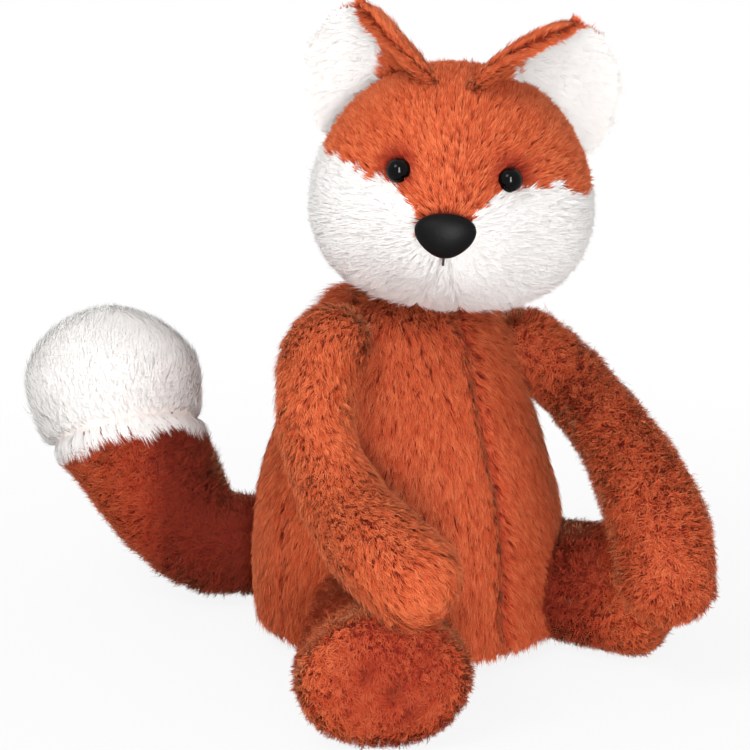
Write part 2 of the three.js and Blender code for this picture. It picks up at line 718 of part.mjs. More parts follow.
function makeTail() {
  const group = new THREE.Group();
  const space = sweptThrough(body.envelope, tailHinge, -1);
  const layers = withoutSpace(layersOf((grow) => limbSolid(tailLimb, grow)), space);
  const length = tailLimb.path.getLength();
  const border = tailLimb.path.getPointAt(1 - TAIL_TIP_LENGTH / length);
  const ahead = tailLimb.path.getTangentAt(1 - TAIL_TIP_LENGTH / length);
  const root = tailLimb.path.getPointAt(0);
  const tip = tailLimb.path.getPointAt(1);
  const behind = border.clone().sub(root).cross(tip.clone().sub(root)).normalize();
  behind.multiplyScalar(Math.sign(behind.y));
  const sleeve = layers.skin.intersect(beyond(border, against(ahead)));
  const ball = layers.skin.intersect(beyond(border, ahead));
  for (const [faceName, face] of [['front', against(behind)], ['back', behind]]) {
    group.add(named(`tail_${faceName}_panel`, sleeve.intersect(beyond(border, face)), rustPlush()));
    group.add(named(`tail_tip_${faceName}_panel`, ball.intersect(beyond(border, face)), whitePlush()));
  }
  group.add(named('tail_stuffing', layers.filling, fibre()));
  return group;
}

const fox = new THREE.Group();
fox.add(makeBody());
fox.add(makeHead());
for (const [sideName, side] of [['right', -1], ['left', 1]]) {
  fox.add(makeLeg(sideName, side));
  fox.add(makeArm(sideName, side));
}
fox.add(makeTail());

export default fox;
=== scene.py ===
# %% [markdown]
# # A sitting plush fox, dressed in its pile
#
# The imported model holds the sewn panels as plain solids. Here every panel gets what makes a plush toy: a woven
# backing with thousands of fibres standing on it. The fibres could be particle hair, but hair isn't kept when a
# model is exported, so each fibre is a thin tapered blade of real mesh. They stand in locks, as real pile does,
# and lean along the nap. All the numbers below are in millimetres until a mesh is made.

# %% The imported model
import math

import bpy
import numpy as np
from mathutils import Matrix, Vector


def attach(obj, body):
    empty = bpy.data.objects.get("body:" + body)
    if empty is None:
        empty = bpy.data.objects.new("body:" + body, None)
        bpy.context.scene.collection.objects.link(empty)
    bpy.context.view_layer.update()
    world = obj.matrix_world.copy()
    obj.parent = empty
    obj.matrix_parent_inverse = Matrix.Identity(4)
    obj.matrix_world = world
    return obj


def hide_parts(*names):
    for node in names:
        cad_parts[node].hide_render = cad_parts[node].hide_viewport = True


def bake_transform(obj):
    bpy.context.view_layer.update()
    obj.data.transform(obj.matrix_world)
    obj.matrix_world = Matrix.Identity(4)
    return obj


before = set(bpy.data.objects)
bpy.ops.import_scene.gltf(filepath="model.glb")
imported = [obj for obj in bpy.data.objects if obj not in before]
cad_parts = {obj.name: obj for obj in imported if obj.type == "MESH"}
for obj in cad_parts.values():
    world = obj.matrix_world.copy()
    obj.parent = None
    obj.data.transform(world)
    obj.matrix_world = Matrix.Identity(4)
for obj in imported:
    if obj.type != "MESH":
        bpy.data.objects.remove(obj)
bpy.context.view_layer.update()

METRES = 0.001

# %% [markdown]
# ## The camera
#
# The photograph looks at the toy from its front right and a little above, from just under a metre away, with a
# long lens: the floor shows hardly any depth. The camera is placed by the direction it looks from, round a
# point in the middle of the toy, because those are the numbers that a photographer would give.

# %% Camera
CAMERA_AZIMUTH = math.radians(-36.5)
CAMERA_ELEVATION = math.radians(15.0)
CAMERA_DISTANCE = 0.95
LENS_MM = 118.46
SENSOR_MM = 36.0
aim = Vector((-0.0102, 0.0076, 0.101))


def toward_camera(azimuth, elevation):
    level = math.cos(elevation)
    return Vector((math.sin(azimuth) * level, -math.cos(azimuth) * level, math.sin(elevation)))


def pointed(thing, place, at):
    thing.location = place
    thing.rotation_euler = (at - place).to_track_quat("-Z", "Y").to_euler()
    bpy.context.scene.collection.objects.link(thing)
    return thing


lens = bpy.data.cameras.new("photo_camera")
lens.lens = LENS_MM
lens.sensor_width = SENSOR_MM
lens.clip_end = 20
eye_line = toward_camera(CAMERA_AZIMUTH, CAMERA_ELEVATION)
camera = pointed(bpy.data.objects.new("photo_camera", lens), aim + eye_line * CAMERA_DISTANCE, aim)
bpy.context.scene.camera = camera
bpy.context.scene.view_settings.view_transform = "Standard"
print("camera at", tuple(round(c, 3) for c in camera.location))

# %% [markdown]
# ## Writing shaders as sums
#
# A shader is a graph of nodes, and a page of links is hard to read. A small class wraps a socket, so that
# `shade * 3 - 2` adds its Math nodes by itself. Any other node comes from one method of the finish, which
# takes the node's type, its settings and what goes into its sockets.


# %% Sockets that can be added up
class Wire:
    """A socket that can be used in sums."""

    def __init__(self, finish, socket):
        self.finish = finish
        self.socket = socket

    def sum(self, operation, first, second=0.0, clamp=False):
        settings = {"operation": operation, "use_clamp": clamp}
        return self.finish.node("Math", settings, {0: first, 1: second})

    def __add__(self, other):
        return self.sum("ADD", self, other)

    def __sub__(self, other):
        return self.sum("SUBTRACT", self, other)

    def __mul__(self, other):
        return self.sum("MULTIPLY", self, other)

    def held(self):
        return self.sum("ADD", self, 0.0, clamp=True)

    __radd__ = __add__


class Finish:
    """A material that is being made."""

    def __init__(self, name):
        self.material = bpy.data.materials.new(name)
        self.material.use_nodes = True
        self.tree = self.material.node_tree
        self.shader = self.tree.nodes["Principled BSDF"]

    def node(self, kind, settings=None, inputs=None, output=0):
        made = self.tree.nodes.new("ShaderNode" + kind)
        for name, value in (settings or {}).items():
            setattr(made, name, value)
        for name, value in (inputs or {}).items():
            self.feed(made.inputs[name], value)
        return Wire(self, made.outputs[output])

    def feed(self, socket, value):
        if isinstance(value, Wire):
            self.tree.links.new(value.socket, socket)
        else:
            socket.default_value = value

    def mix(self, share, low, high):
        return self.node("Mix", {"data_type": "RGBA"}, {0: share, 6: low, 7: high}, output=2)

    def noise(self, scale, detail, stretch=None):
        place = self.node("TexCoord", output="Object")
        if stretch:
            place = self.node("Mapping", None, {"Vector": place, "Scale": stretch})
        return self.node("TexNoise", None, {"Vector": place, "Scale": scale, "Detail": detail})

    def show(self, **values):
        for name, value in values.items():
            self.feed(self.shader.inputs[name.replace("_", " ")], value)
        return self.material

    def seen(self):
        """1 for what the camera sees, also in a reflection or through glass, and 0 for light on its way."""
        path = self.tree.nodes.new("ShaderNodeLightPath")
        rays = [Wire(self, path.outputs[f"Is {kind} Ray"]) for kind in ("Camera", "Glossy", "Transmission")]
        return sum(rays, 0).held()


class Sky(Finish):
    """The world, made of nodes in the same way."""

    def __init__(self, name):
        self.world = bpy.data.worlds.new(name)
        self.world.use_nodes = True
        self.tree = self.world.node_tree
        self.tree.nodes.clear()


# %% [markdown]
# ## Pile, and the colours in it
#
# Real pile looks darker and redder down between the fibres, where shade falls, and paler at the tips, where the
# light comes through. Both are painted into each fibre's colour: painted shade toward the root and painted light
# at the tip. Each blade therefore carries three numbers on its points: how far along the fibre the point is, a
# chance that is the fibre's own, and a painted shade for places that lie in shadow, such as the eyes' sockets
# and the far leg. They could be three images, but numbers on the mesh need no map and stay sharp at any distance.

# %% Pile finishes
PILE_MARKS = "pile"
PATCHES_PER_METRE = 55.0
RISE_OVER, FIBRE_CHANCE, BODY_RAMP, TIPS_FROM, TIPS_RAMP = 1.15, 0.45, 1.9, 0.45, 1.8


def pile_finish(name, root, body, tip, painted_shade, patch, tip_share, strands, haze, sheen):
    made = Finish(name)
    marks = made.node("Attribute", {"attribute_name": PILE_MARKS})
    split = made.tree.nodes.new("ShaderNodeSeparateColor")
    made.feed(split.inputs[0], marks)
    along, chance, shade = (Wire(made, split.outputs[k]) for k in range(3))
    patches = made.noise(PATCHES_PER_METRE, 2.0)
    rise = (along * RISE_OVER + (patches - 0.5) * patch + (chance - 0.5) * FIBRE_CHANCE).held()
    # The colour runs from the dark root colour, painted shade down between the fibres, to the body colour and on
    # to the pale tip colour, painted light where light comes through the tips.
    colour = made.mix((rise * BODY_RAMP).held(), (*root, 1), (*body, 1))
    paler = (((rise - TIPS_FROM) * TIPS_RAMP).held() * (tip_share + (chance - 0.5) * strands)).held()
    colour = made.mix(paler, colour, (*tip, 1))
    # The shade mark mixes in a darker red, painted shade where the pile lies in shadow; a strong mark goes on to
    # near black, a painted shadow.
    colour = made.mix(shade, colour, (*painted_shade, 1))
    colour = made.mix((shade * 3 - 2).held(), colour, (*[c * 0.05 for c in root], 1))
    made.show(Base_Color=colour, Roughness=0.85)
    made.show(Specular_IOR_Level=0.12, Sheen_Weight=sheen, Sheen_Roughness=0.4, Sheen_Tint=(*haze, 1))
    return made.material


rust = pile_finish("rust_pile", root=(0.22, 0.015, 0.006), body=(0.6, 0.085, 0.024), tip=(0.85, 0.215, 0.08),
                   painted_shade=(0.36, 0.02, 0.008), patch=0.35, tip_share=0.66, strands=1.2, haze=(1.0, 0.42, 0.2),
                   sheen=0.5)
white = pile_finish("white_pile", root=(0.93, 0.87, 0.835), body=(0.955, 0.93, 0.91), tip=(0.97, 0.955, 0.938),
                    painted_shade=(0.5, 0.42, 0.38), patch=0.2, tip_share=0.8, strands=0.5, haze=(1.0, 1.0, 1.0),
                    sheen=0.1)
PLUSH = {"rust_plush": rust, "white_plush": white}
print("pile finishes:", rust.name, white.name)

# %% [markdown]
# ## Reading the forms
#
# The toy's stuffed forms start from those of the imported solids, so their sizes are repeated here, with a few
# millimetres more or less where the photograph asks for it. A list of shares says how thick a form is at even
# steps along it, and a smooth curve is read through them. A limb is swept along a path through a few points,
# with a curve that doesn't overshoot where points lie close together.

# %% Shares and paths


def smooth_shares(shares, t):
    shares = np.asarray(shares, float)
    last = len(shares) - 1
    place = np.clip(t, 0, 1) * last
    i = np.minimum(place.astype(int), last)
    w = place - i
    p0, p1, p2, p3 = (shares[np.clip(i + k, 0, last)] for k in (-1, 0, 1, 2))
    v0, v1 = (p2 - p0) / 2, (p3 - p1) / 2
    return (2 * p1 - 2 * p2 + v0 + v1) * w**3 + (3 * p2 - 3 * p1 - 2 * v0 - v1) * w**2 + v0 * w + p1


def centripetal(points, per=40):
    points = np.asarray(points, float)
    ends = [2 * points[0] - points[1], *points, 2 * points[-1] - points[-2]]
    out = []
    w = np.arange(per)[:, None] / per
    for a, b, c, d in zip(ends, ends[1:], ends[2:], ends[3:]):
        da, db, dc = (max(np.linalg.norm(q - p) ** 0.5, 1e-4) for p, q in ((a, b), (b, c), (c, d)))
        t1 = ((b - a) / da - (c - a) / (da + db) + (c - b) / db) * db
        t2 = ((c - b) / db - (d - b) / (db + dc) + (d - c) / dc) * db
        out.append(b + t1 * w + (3 * c - 3 * b - 2 * t1 - t2) * w**2 + (2 * b - 2 * c + t1 + t2) * w**3)
    return np.vstack([*out, points[-1:]])


def lengths(rows):
    return np.linalg.norm(rows, axis=-1, keepdims=True)


def unit(rows):
    return rows / np.maximum(lengths(rows), 1e-9)


def filled_out(distance, around, squareness):
    left = 1 - np.clip(distance / around, 0, 1)
    return (1 - left**squareness) ** (1 / squareness)


def even_steps(rows):
    """Distance along a line of points."""
    return np.concatenate([[0], np.cumsum(lengths(np.diff(rows, axis=0)).ravel())])


def between(distance, marks, rows):
    return np.stack([np.interp(distance, marks, rows[:, k]) for k in range(3)], axis=-1)


# %% [markdown]
# ## Three kinds of stuffed form
#
# The body is a turned shape, the head a ball with swollen cheeks and muzzle, and the limbs and tail are swept.
# Each kind answers two questions. `surface` gives the point for a place round and along the form, and `outside`
# says how far other points are from it and which way is out, so that neighbours can press into each other.
# A negative `grow` gives the backing cloth, which lies a pile's depth under the form's face.

# %% Body form
FLOOR_CUT = 0.5
BODY_RADIUS, BODY_HEIGHT = 61.0, 140.0
BASE_ROUND, TOP_ROUND = 13.0, 16.0
BASE_FORWARD, FORWARD_UP_TO = 7.0, 22.0
BODY_SHARES = [1.0, 1.0, 1.0, 0.97, 0.9, 0.8, 0.69, 0.56, 0.45]
BASE_RADIUS, BASE_RISE = 34.0, 7.0


class Body:
    total = BODY_HEIGHT + FLOOR_CUT

    def profile(self, v, grow):
        along = (self.total + 2 * grow) * (1 - np.cos(np.pi * v)) / 2 - grow
        full = filled_out(along + grow, BASE_ROUND + grow, 3)
        full = full * filled_out(self.total + grow - along, TOP_ROUND + grow, 2)
        radius = (BODY_RADIUS * smooth_shares(BODY_SHARES, along / self.total) + grow) * full
        return radius, along - FLOOR_CUT

    def surface(self, u, v, grow):
        radius, z = self.profile(v, grow)
        turn = 2 * np.pi * u
        low = np.clip(1 - z / FORWARD_UP_TO, 0, 1)
        radius = radius + BASE_FORWARD * low**2 * np.cos(turn) * radius / BODY_RADIUS
        return np.stack([radius * np.sin(turn), -radius * np.cos(turn), z], axis=-1)

    def outside(self, points, grow=0.0):
        r, z = self.profile(np.linspace(0, 1, 49), grow)
        flat = np.stack([np.hypot(points[:, 0], points[:, 1]), points[:, 2]], axis=-1)
        best = np.full(len(points), 1e9)
        away = np.zeros((len(points), 2))
        for k in range(len(r) - 1):
            a, b = np.array([r[k], z[k]]), np.array([r[k + 1], z[k + 1]])
            w = np.clip((flat - a) @ (b - a) / ((b - a) @ (b - a)), 0, 1)
            step = flat - (a + w[:, None] * (b - a))
            far = np.hypot(step[:, 0], step[:, 1])
            outward = np.array([b[1] - a[1], a[0] - b[0]])
            sign = np.where(step @ outward >= 0, 1.0, -1.0)
            nearer = far < best
            best = np.where(nearer, far, best)
            direction = step * (sign / np.maximum(far, 1e-9))[:, None]
            direction = np.where(far[:, None] < 1e-6, unit(outward[None]), direction)
            away[nearer] = direction[nearer]
            if k == 0:
                signs = sign
            signs = np.where(nearer, sign, signs)
        across = unit(np.stack([points[:, 0], points[:, 1], 0 * points[:, 0]], axis=-1))
        return best * signs, across * away[:, :1] + np.array([0, 0, 1.0]) * away[:, 1:]


# %% Head form
HEAD_CENTRE = np.array([0.0, -27.0, 180.0])
HEAD_TURN, HEAD_ROLL = math.radians(-39.0), math.radians(4.5)
HEAD_HALF = np.array([50.0, 47.0, 46.0])
CHEEK = np.array([0.8, -0.35, -0.45])
SWELLS = [(CHEEK, 7.0, 0.6), (CHEEK * [-1, 1, 1], 7.0, 0.6), (np.array([0, -1, -0.3]), 9.0, 0.45)]


def turned(angle, axis):
    c, s = math.cos(angle), math.sin(angle)
    rows = np.eye(3)
    i, j = [(1, 2), (2, 0), (0, 1)][axis]
    rows[i, i] = rows[j, j] = c
    rows[i, j], rows[j, i] = -s, s
    return rows


HEAD_AXES = turned(HEAD_TURN, 2) @ turned(HEAD_ROLL, 1)


def to_head(points):
    return (points - HEAD_CENTRE) @ HEAD_AXES


def from_head(points):
    return points @ HEAD_AXES.T + HEAD_CENTRE


class Head:
    def reach(self, directions):
        reach = 1 / lengths(directions / HEAD_HALF)[..., 0]
        for toward, height, spread in SWELLS:
            angle = np.arccos(np.clip(directions @ (toward / np.linalg.norm(toward)), -1, 1))
            reach = reach + height * np.exp(-((angle / spread) ** 2))
        return reach

    def surface(self, u, v, grow):
        turn, rise = 2 * np.pi * u, np.pi * v
        ways = np.stack([np.sin(rise) * np.sin(turn), -np.sin(rise) * np.cos(turn), -np.cos(rise)], axis=-1)
        reach = self.reach(ways) + grow
        return from_head(ways * reach[..., None])

    def outside(self, points, grow=0.0):
        local = to_head(points)
        ways = unit(local)
        return lengths(local)[:, 0] - self.reach(ways) - grow, ways @ HEAD_AXES.T


# %% Limb form


class Limb:
    def __init__(self, points, radius, widths, heights, up, rounds, squareness, sag=0.0):
        self.line = centripetal(points)
        self.marks = even_steps(self.line)
        self.length = self.marks[-1]
        self.slopes = unit(np.gradient(self.line, self.marks + np.arange(len(self.marks)) * 1e-7, axis=0))
        self.radius, self.widths, self.heights = radius, widths, heights
        self.up, self.rounds, self.squareness = np.array(up, float), rounds, squareness
        self.sag = sag

    def centre(self, along):
        held = np.clip(along, 0, self.length)
        slope = unit(between(held, self.marks, self.slopes))
        return between(held, self.marks, self.line) + slope * (along - held)[..., None], slope

    def halves(self, along, grow):
        t = along / self.length
        full = filled_out(along + grow, self.rounds[0] + grow, self.squareness)
        full = full * filled_out(self.length + grow - along, self.rounds[1] + grow, self.squareness)
        wide = (self.radius * smooth_shares(self.widths, t) + grow) * full
        high = (self.radius * smooth_shares(self.heights, t) + grow) * full
        return wide, high

    def surface(self, u, v, grow):
        along = (self.length + 2 * grow) * (1 - np.cos(np.pi * v)) / 2 - grow
        centre, slope = self.centre(along)
        side = unit(np.cross(slope, self.up))
        lift = np.cross(side, slope)
        wide, high = self.halves(along, grow)
        turn = 2 * np.pi * u
        around, rise = np.cos(turn), np.sin(turn)
        sagged = around * (1 + self.sag * np.minimum(rise, 0) ** 2)
        return centre - side * (wide * sagged)[..., None] + lift * (high * rise)[..., None]

    def outside(self, points, grow=0.0):
        along = np.linspace(0.5 - grow, self.length - 0.5 + grow, 56)
        centre, _ = self.centre(along)
        wide, high = self.halves(along, grow)
        reach = np.minimum(np.minimum(wide, high), np.minimum(along + grow, self.length + grow - along) + 2.0)
        best = np.full(len(points), 1e9)
        away = np.zeros((len(points), 3))
        for c, r in zip(centre, reach):
            step = points - c
            far = lengths(step)[:, 0]
            nearer = far - r < best
            best[nearer] = (far - r)[nearer]
            away[nearer] = (step / np.maximum(far, 1e-9)[:, None])[nearer]
        return best, away

    def nap(self, points):
        """The way along the limb at the nearest place of its line."""
        marks = np.linspace(0, self.length, 60)
        centre, slope = self.centre(marks)
        return slope[np.argmin(((points[:, None] - centre[None]) ** 2).sum(-1), axis=1)]


# %% The toy's own forms
LEG_RADIUS, LEG_LENGTH = 22.0, 97.0
LEG_WIDTHS = [1.08, 1.1, 1.14, 1.22, 1.38, 1.48]
LEG_HEIGHTS = [1.0, 1.0, 1.02, 1.07, 1.16, 1.2]
SOLE_DEPTH = 11.0
LEG_SAG = {"right": 0.12, "left": 0.45}
LEG_SQUARENESS = 2.6
HIP = np.array([30.0, -20.0, 0.0])
ARM_RADIUS, ARM_LENGTH = 15.5, 140.0
SHOULDER = np.array([31.0, -12.0, 120.0])
ARM_WIDTHS = [0.95, 1.0, 0.97, 0.98, 1.08, 1.2, 1.22, 1.15]
TAIL_RADIUS, TAIL_LENGTH, TAIL_TIP = 20.0, 160.0, 57.0
TAIL_BEHIND, TAIL_LIFT = 50.0, 0.8
TAIL_WIDTHS = [0.95, 0.97, 1.02, 1.13, 1.28, 1.46, 1.73, 1.73, 1.57]
leg_bends = {
    "right": [(0, 0), (-0.23, -0.29), (-0.4, -0.553), (-0.568, -0.824)],
    "left": [(0.04, 0.08), (0.12, -0.22), (0.23, -0.45), (0.352, -0.645)],
}
arm_bends = {
    "right": [(0, 0, 0.04), (-0.14, -0.03, 0.015), (-0.234, -0.13, -0.155), (-0.279, -0.321, -0.32),
              (-0.295, -0.526, -0.397), (-0.262, -0.71, -0.47)],
    "left": [(0, 0, 0), (0.145, -0.158, -0.152), (0.137, -0.354, -0.256), (0.088, -0.536, -0.36),
             (0.055, -0.653, -0.475), (0.018, -0.73, -0.68)],
}
tail_bends = [(0, 0, 0), (-0.195, 0.076, 0.007), (-0.298, 0.136, 0.03), (-0.362, 0.195, 0.116),
              (-0.402, 0.252, 0.23), (-0.449, 0.307, 0.402), (-0.457, 0.326, 0.612)]
SIDES = {"right": -1, "left": 1}


def leg_form(side_name):
    bends = leg_bends[side_name]
    rise = LEG_RADIUS * smooth_shares(LEG_HEIGHTS, np.arange(len(bends)) / (len(bends) - 1)) - FLOOR_CUT
    root = HIP * [SIDES[side_name], 1, 1]
    points = [root + [x * LEG_LENGTH, y * LEG_LENGTH, h] for (x, y), h in zip(bends, rise)]
    return Limb(points, LEG_RADIUS, LEG_WIDTHS, LEG_HEIGHTS, (0, 0, 1), (LEG_RADIUS / 2, SOLE_DEPTH),
                LEG_SQUARENESS, LEG_SAG[side_name])


def arm_form(side_name):
    points = SHOULDER * [SIDES[side_name], 1, 1] + np.array(arm_bends[side_name]) * ARM_LENGTH
    return Limb(points, ARM_RADIUS, ARM_WIDTHS, ARM_WIDTHS, (1, 0, 0), (ARM_RADIUS, ARM_RADIUS), 2)


body, head = Body(), Head()
legs = {name: leg_form(name) for name in SIDES}
arms = {name: arm_form(name) for name in SIDES}
tail_root = np.array([0, TAIL_BEHIND, TAIL_RADIUS + TAIL_LIFT])
tail = Limb(tail_root + np.array(tail_bends) * TAIL_LENGTH, TAIL_RADIUS, TAIL_WIDTHS, TAIL_WIDTHS, (0, 1, 0),
            (TAIL_RADIUS / 2, TAIL_RADIUS * 1.5), 2)
print("limb lengths:", {k: round(a.length) for k, a in arms.items()}, "tail", round(tail.length))

# %% [markdown]
# ## Backing cloth that gives way
#
# Where a paw lies on a leg, or a limb is sewn to the body, stuffed forms press each other flat. The cloth could
# be cut there with a boolean, but the real one isn't cut: it is dented. So each point of a form that would lie
# inside its neighbour is moved out to the neighbour's cloth.

# %% Dented cloth
PRESS_GAP = 1.2
FLOOR_REST = 0.8
SEAM_WIDTH = 1.6


class Cloth:
    """A form's backing cloth: where it lies, which way it faces, and what presses on it."""

    def __init__(self, form, depth, neighbours=(), seam=None, seam_depth=1.3):
        self.form = form
        self.depth = depth
        self.neighbours = neighbours
        self.seam, self.seam_depth = seam, seam_depth

    def points(self, u, v):
        u, v = np.broadcast_arrays(np.mod(u, 1.0), np.clip(v, 0, 1))
        shape = u.shape
        u, v = u.ravel(), v.ravel()
        found = self.form.surface(u, v, -self.depth)
        if self.seam:
            apart = self.seam(self.form.surface(u, v, 0.0))
            sunk = self.seam_depth * np.exp(-((apart / SEAM_WIDTH) ** 2))
            found = found - sunk[:, None] * self.facing(u, v)
        for other, other_depth in self.neighbours:
            away, way = other.outside(found, -other_depth)
            found = found + way * np.clip(PRESS_GAP - away, 0, None)[:, None]
        found[:, 2] = np.maximum(found[:, 2], FLOOR_REST)
        return found.reshape(*shape, 3)

    def facing(self, u, v):
        """The plain form's outward direction, by small steps round and along it."""
        step = 1e-3
        near, far = np.clip(v - step, 0, 1), np.clip(v + step, 0, 1)
        along = self.form.surface(u, far, -self.depth) - self.form.surface(u, near, -self.depth)
        v = np.clip(v, 2 * step, 1 - 2 * step)
        round_it = self.form.surface(u + step, v, -self.depth) - self.form.surface(u - step, v, -self.depth)
        return unit(np.cross(round_it, along))

    def slopes(self, u, v):
        step = 2e-3
        v = np.clip(v, 2 * step, 1 - 2 * step)
        round_it = self.points(u + step, v) - self.points(u - step, v)
        along = self.points(u, v + step) - self.points(u, v - step)
        return unit(np.cross(round_it, along))


# %% [markdown]
# ## Standing the pile
#
# Pile clings together in locks of a few fibres whose tips meet. So locks are spread evenly over the cloth
# first, by the area of small patches, and each lock then gets its fibres round it. A fibre rises from the cloth
# and bends over along the nap, and its tip is drawn toward the lock's middle. Spreading single fibres at random
# gives a smooth coat like a brush, without the dark partings that the photograph shows.

# %% Locks and fibres
STEPS_ALONG = np.array([0.0, 0.55, 1.0])
STEEPEST, FLATTEST = 0.96, 0.15
LENGTHS_DIFFER, RISES_DIFFER = 0.1, 0.14
ROOT_SUNK = 0.3
BLADE_POINTS = 5
LOCK_SHARE = 1.0
AREA_ROWS, AREA_COLS = 90, 96
SEAM_SHADE_WIDTH = 1.9


class Pile:
    """How the pile of one kind of cloth stands."""

    def __init__(self, length, height, width, locks, fibres, spread, gather=0.4, stray=0.2, uneven=0.12):
        self.length, self.height, self.width = length, height, width
        self.locks, self.fibres, self.spread = locks, fibres, spread
        self.gather, self.stray, self.uneven = gather, stray, uneven


def whole_grid(rows, cols):
    """Places u and v at the corners of rows x cols squares."""
    return np.meshgrid(np.arange(cols + 1) / cols, np.arange(rows + 1) / rows)


def spread_locks(draw, points_at, rows, cols, locks):
    """Places for locks, even over the area of a surface."""
    grid = points_at(*whole_grid(rows, cols))
    a, b = grid[1:, 1:] - grid[:-1, :-1], grid[1:, :-1] - grid[:-1, 1:]
    area = lengths(np.cross(a, b))[..., 0].ravel() / 2
    count = int(area.sum() * locks * LOCK_SHARE)
    marks = (np.arange(count) + draw.random(count)) / count * area.sum()
    cell = np.minimum(np.searchsorted(np.cumsum(area), marks), len(area) - 1)
    return (cell % cols + draw.random(count)) / cols, (cell // cols + draw.random(count)) / rows


def flat_on(ways, facing):
    return unit(ways - (ways * facing).sum(-1, keepdims=True) * facing)


def waves(points, size, seed):
    """A smooth random number from -1 to 1 for each point, that changes over about `size`."""
    draw = np.random.default_rng(seed)
    total = np.zeros(len(points))
    for _ in range(6):
        way = draw.normal(size=3)
        way /= np.linalg.norm(way)
        total += np.sin(points @ way * (2 * np.pi / (size * draw.uniform(0.8, 1.6))) + draw.uniform(0, 6.3))
    return total / 3


def stand_fibres(draw, pile, middle, facing, nap, room, size, upright, shade):
    """Each lock's fibres as blades: points, marks and facing, with five points a blade."""
    locks, per = len(middle), pile.fibres
    across = np.cross(facing, nap)
    turn = draw.uniform(0, 2 * np.pi, (locks, per))
    apart = pile.spread * np.sqrt(draw.random((locks, per)))
    ahead, aside = (apart * np.cos(turn))[..., None], (apart * np.sin(turn))[..., None]
    offset = nap[:, None] * ahead + across[:, None] * aside
    scale = size[:, None] * (1 + pile.uneven * draw.normal(size=(locks, 1))).clip(0.5, 1.6)
    scale = scale * (1 + LENGTHS_DIFFER * draw.normal(size=(locks, per)))
    rise = pile.height * upright[:, None] * (1 + RISES_DIFFER * draw.normal(size=(locks, per)))
    rise = np.clip(rise, FLATTEST * pile.length, STEEPEST * pile.length) * scale
    run = np.sqrt(np.maximum((pile.length * scale) ** 2 - rise**2, 0.3))
    rise = rise * room[:, None]
    yaw = pile.stray * (draw.normal(size=(locks, 1)) + 0.6 * draw.normal(size=(locks, per)))
    lean = nap[:, None] * np.cos(yaw)[..., None] + across[:, None] * np.sin(yaw)[..., None]
    side = np.cross(facing[:, None], lean)
    s = STEPS_ALONG
    up = (s * (2 - s))[None, None, :, None] * rise[..., None, None] * facing[:, None, None]
    over = (s**1.4)[None, None, :, None] * run[..., None, None] * lean[:, :, None]
    drawn = -pile.gather * (s**1.3)[None, None, :, None] * offset[:, :, None]
    line = middle[:, None, None] + offset[:, :, None] + up + over + drawn - ROOT_SUNK * facing[:, None, None]
    twist = draw.uniform(-0.9, 0.9, (locks, per, 1, 1))
    flat = side[:, :, None] * np.cos(twist) + facing[:, None, None] * np.sin(twist)
    half = pile.width / 2 * (0.75 + 0.5 * draw.random((locks, per)))[..., None, None]
    taper = np.array([1.0, 0.9])[None, None, :, None]
    blade = np.empty((locks, per, BLADE_POINTS, 3))
    blade[:, :, 0:4:2] = line[:, :, :2] - flat * half * taper
    blade[:, :, 1:4:2] = line[:, :, :2] + flat * half * taper
    blade[:, :, 4] = line[:, :, 2]
    floor = 0.25 + 0.5 * draw.random((locks, per, 1))
    blade[..., 2] = np.maximum(blade[..., 2], floor)
    marks = np.empty(blade.shape)
    marks[..., 0] = np.repeat(s, 2)[:BLADE_POINTS]
    chance = 0.5 + 0.22 * draw.normal(size=(locks, 1, 1)) + 0.15 * draw.normal(size=(locks, per, 1))
    marks[..., 1] = np.clip(chance, 0, 1)
    marks[..., 2] = shade[:, None, None]
    out = np.broadcast_to(facing[:, None, None], blade.shape)
    return tuple(rows.reshape(-1, BLADE_POINTS, 3) for rows in (blade, marks, out))


# %% [markdown]
# ## One piece for each sewn panel
#
# A panel of the toy is its backing and the pile on it, so both go into one mesh: a grid of cloth and then the
# blades. The blades' normals are mixed with the cloth's, because thin blades lit only by their own faces
# glitter. Each blade also gets a small cell of its own in the map that an export bakes colours into.

# %% Panels
OWN_NORMAL = {"rust_plush": 0.35, "white_plush": 0.12}
CLOTH_STRIP = 0.16
# The backing cloth takes the fibres' dark root colour: painted shade for the gaps between the locks.
CLOTH_MARKS = [0.0, 0.5, 0.0]
CELL_TALL = 2.5
made_pieces = []


def shown(name, mesh, material):
    """An object that shows a mesh in one material."""
    mesh.materials.append(material)
    made = bpy.data.objects.new(name, mesh)
    bpy.context.scene.collection.objects.link(made)
    return made


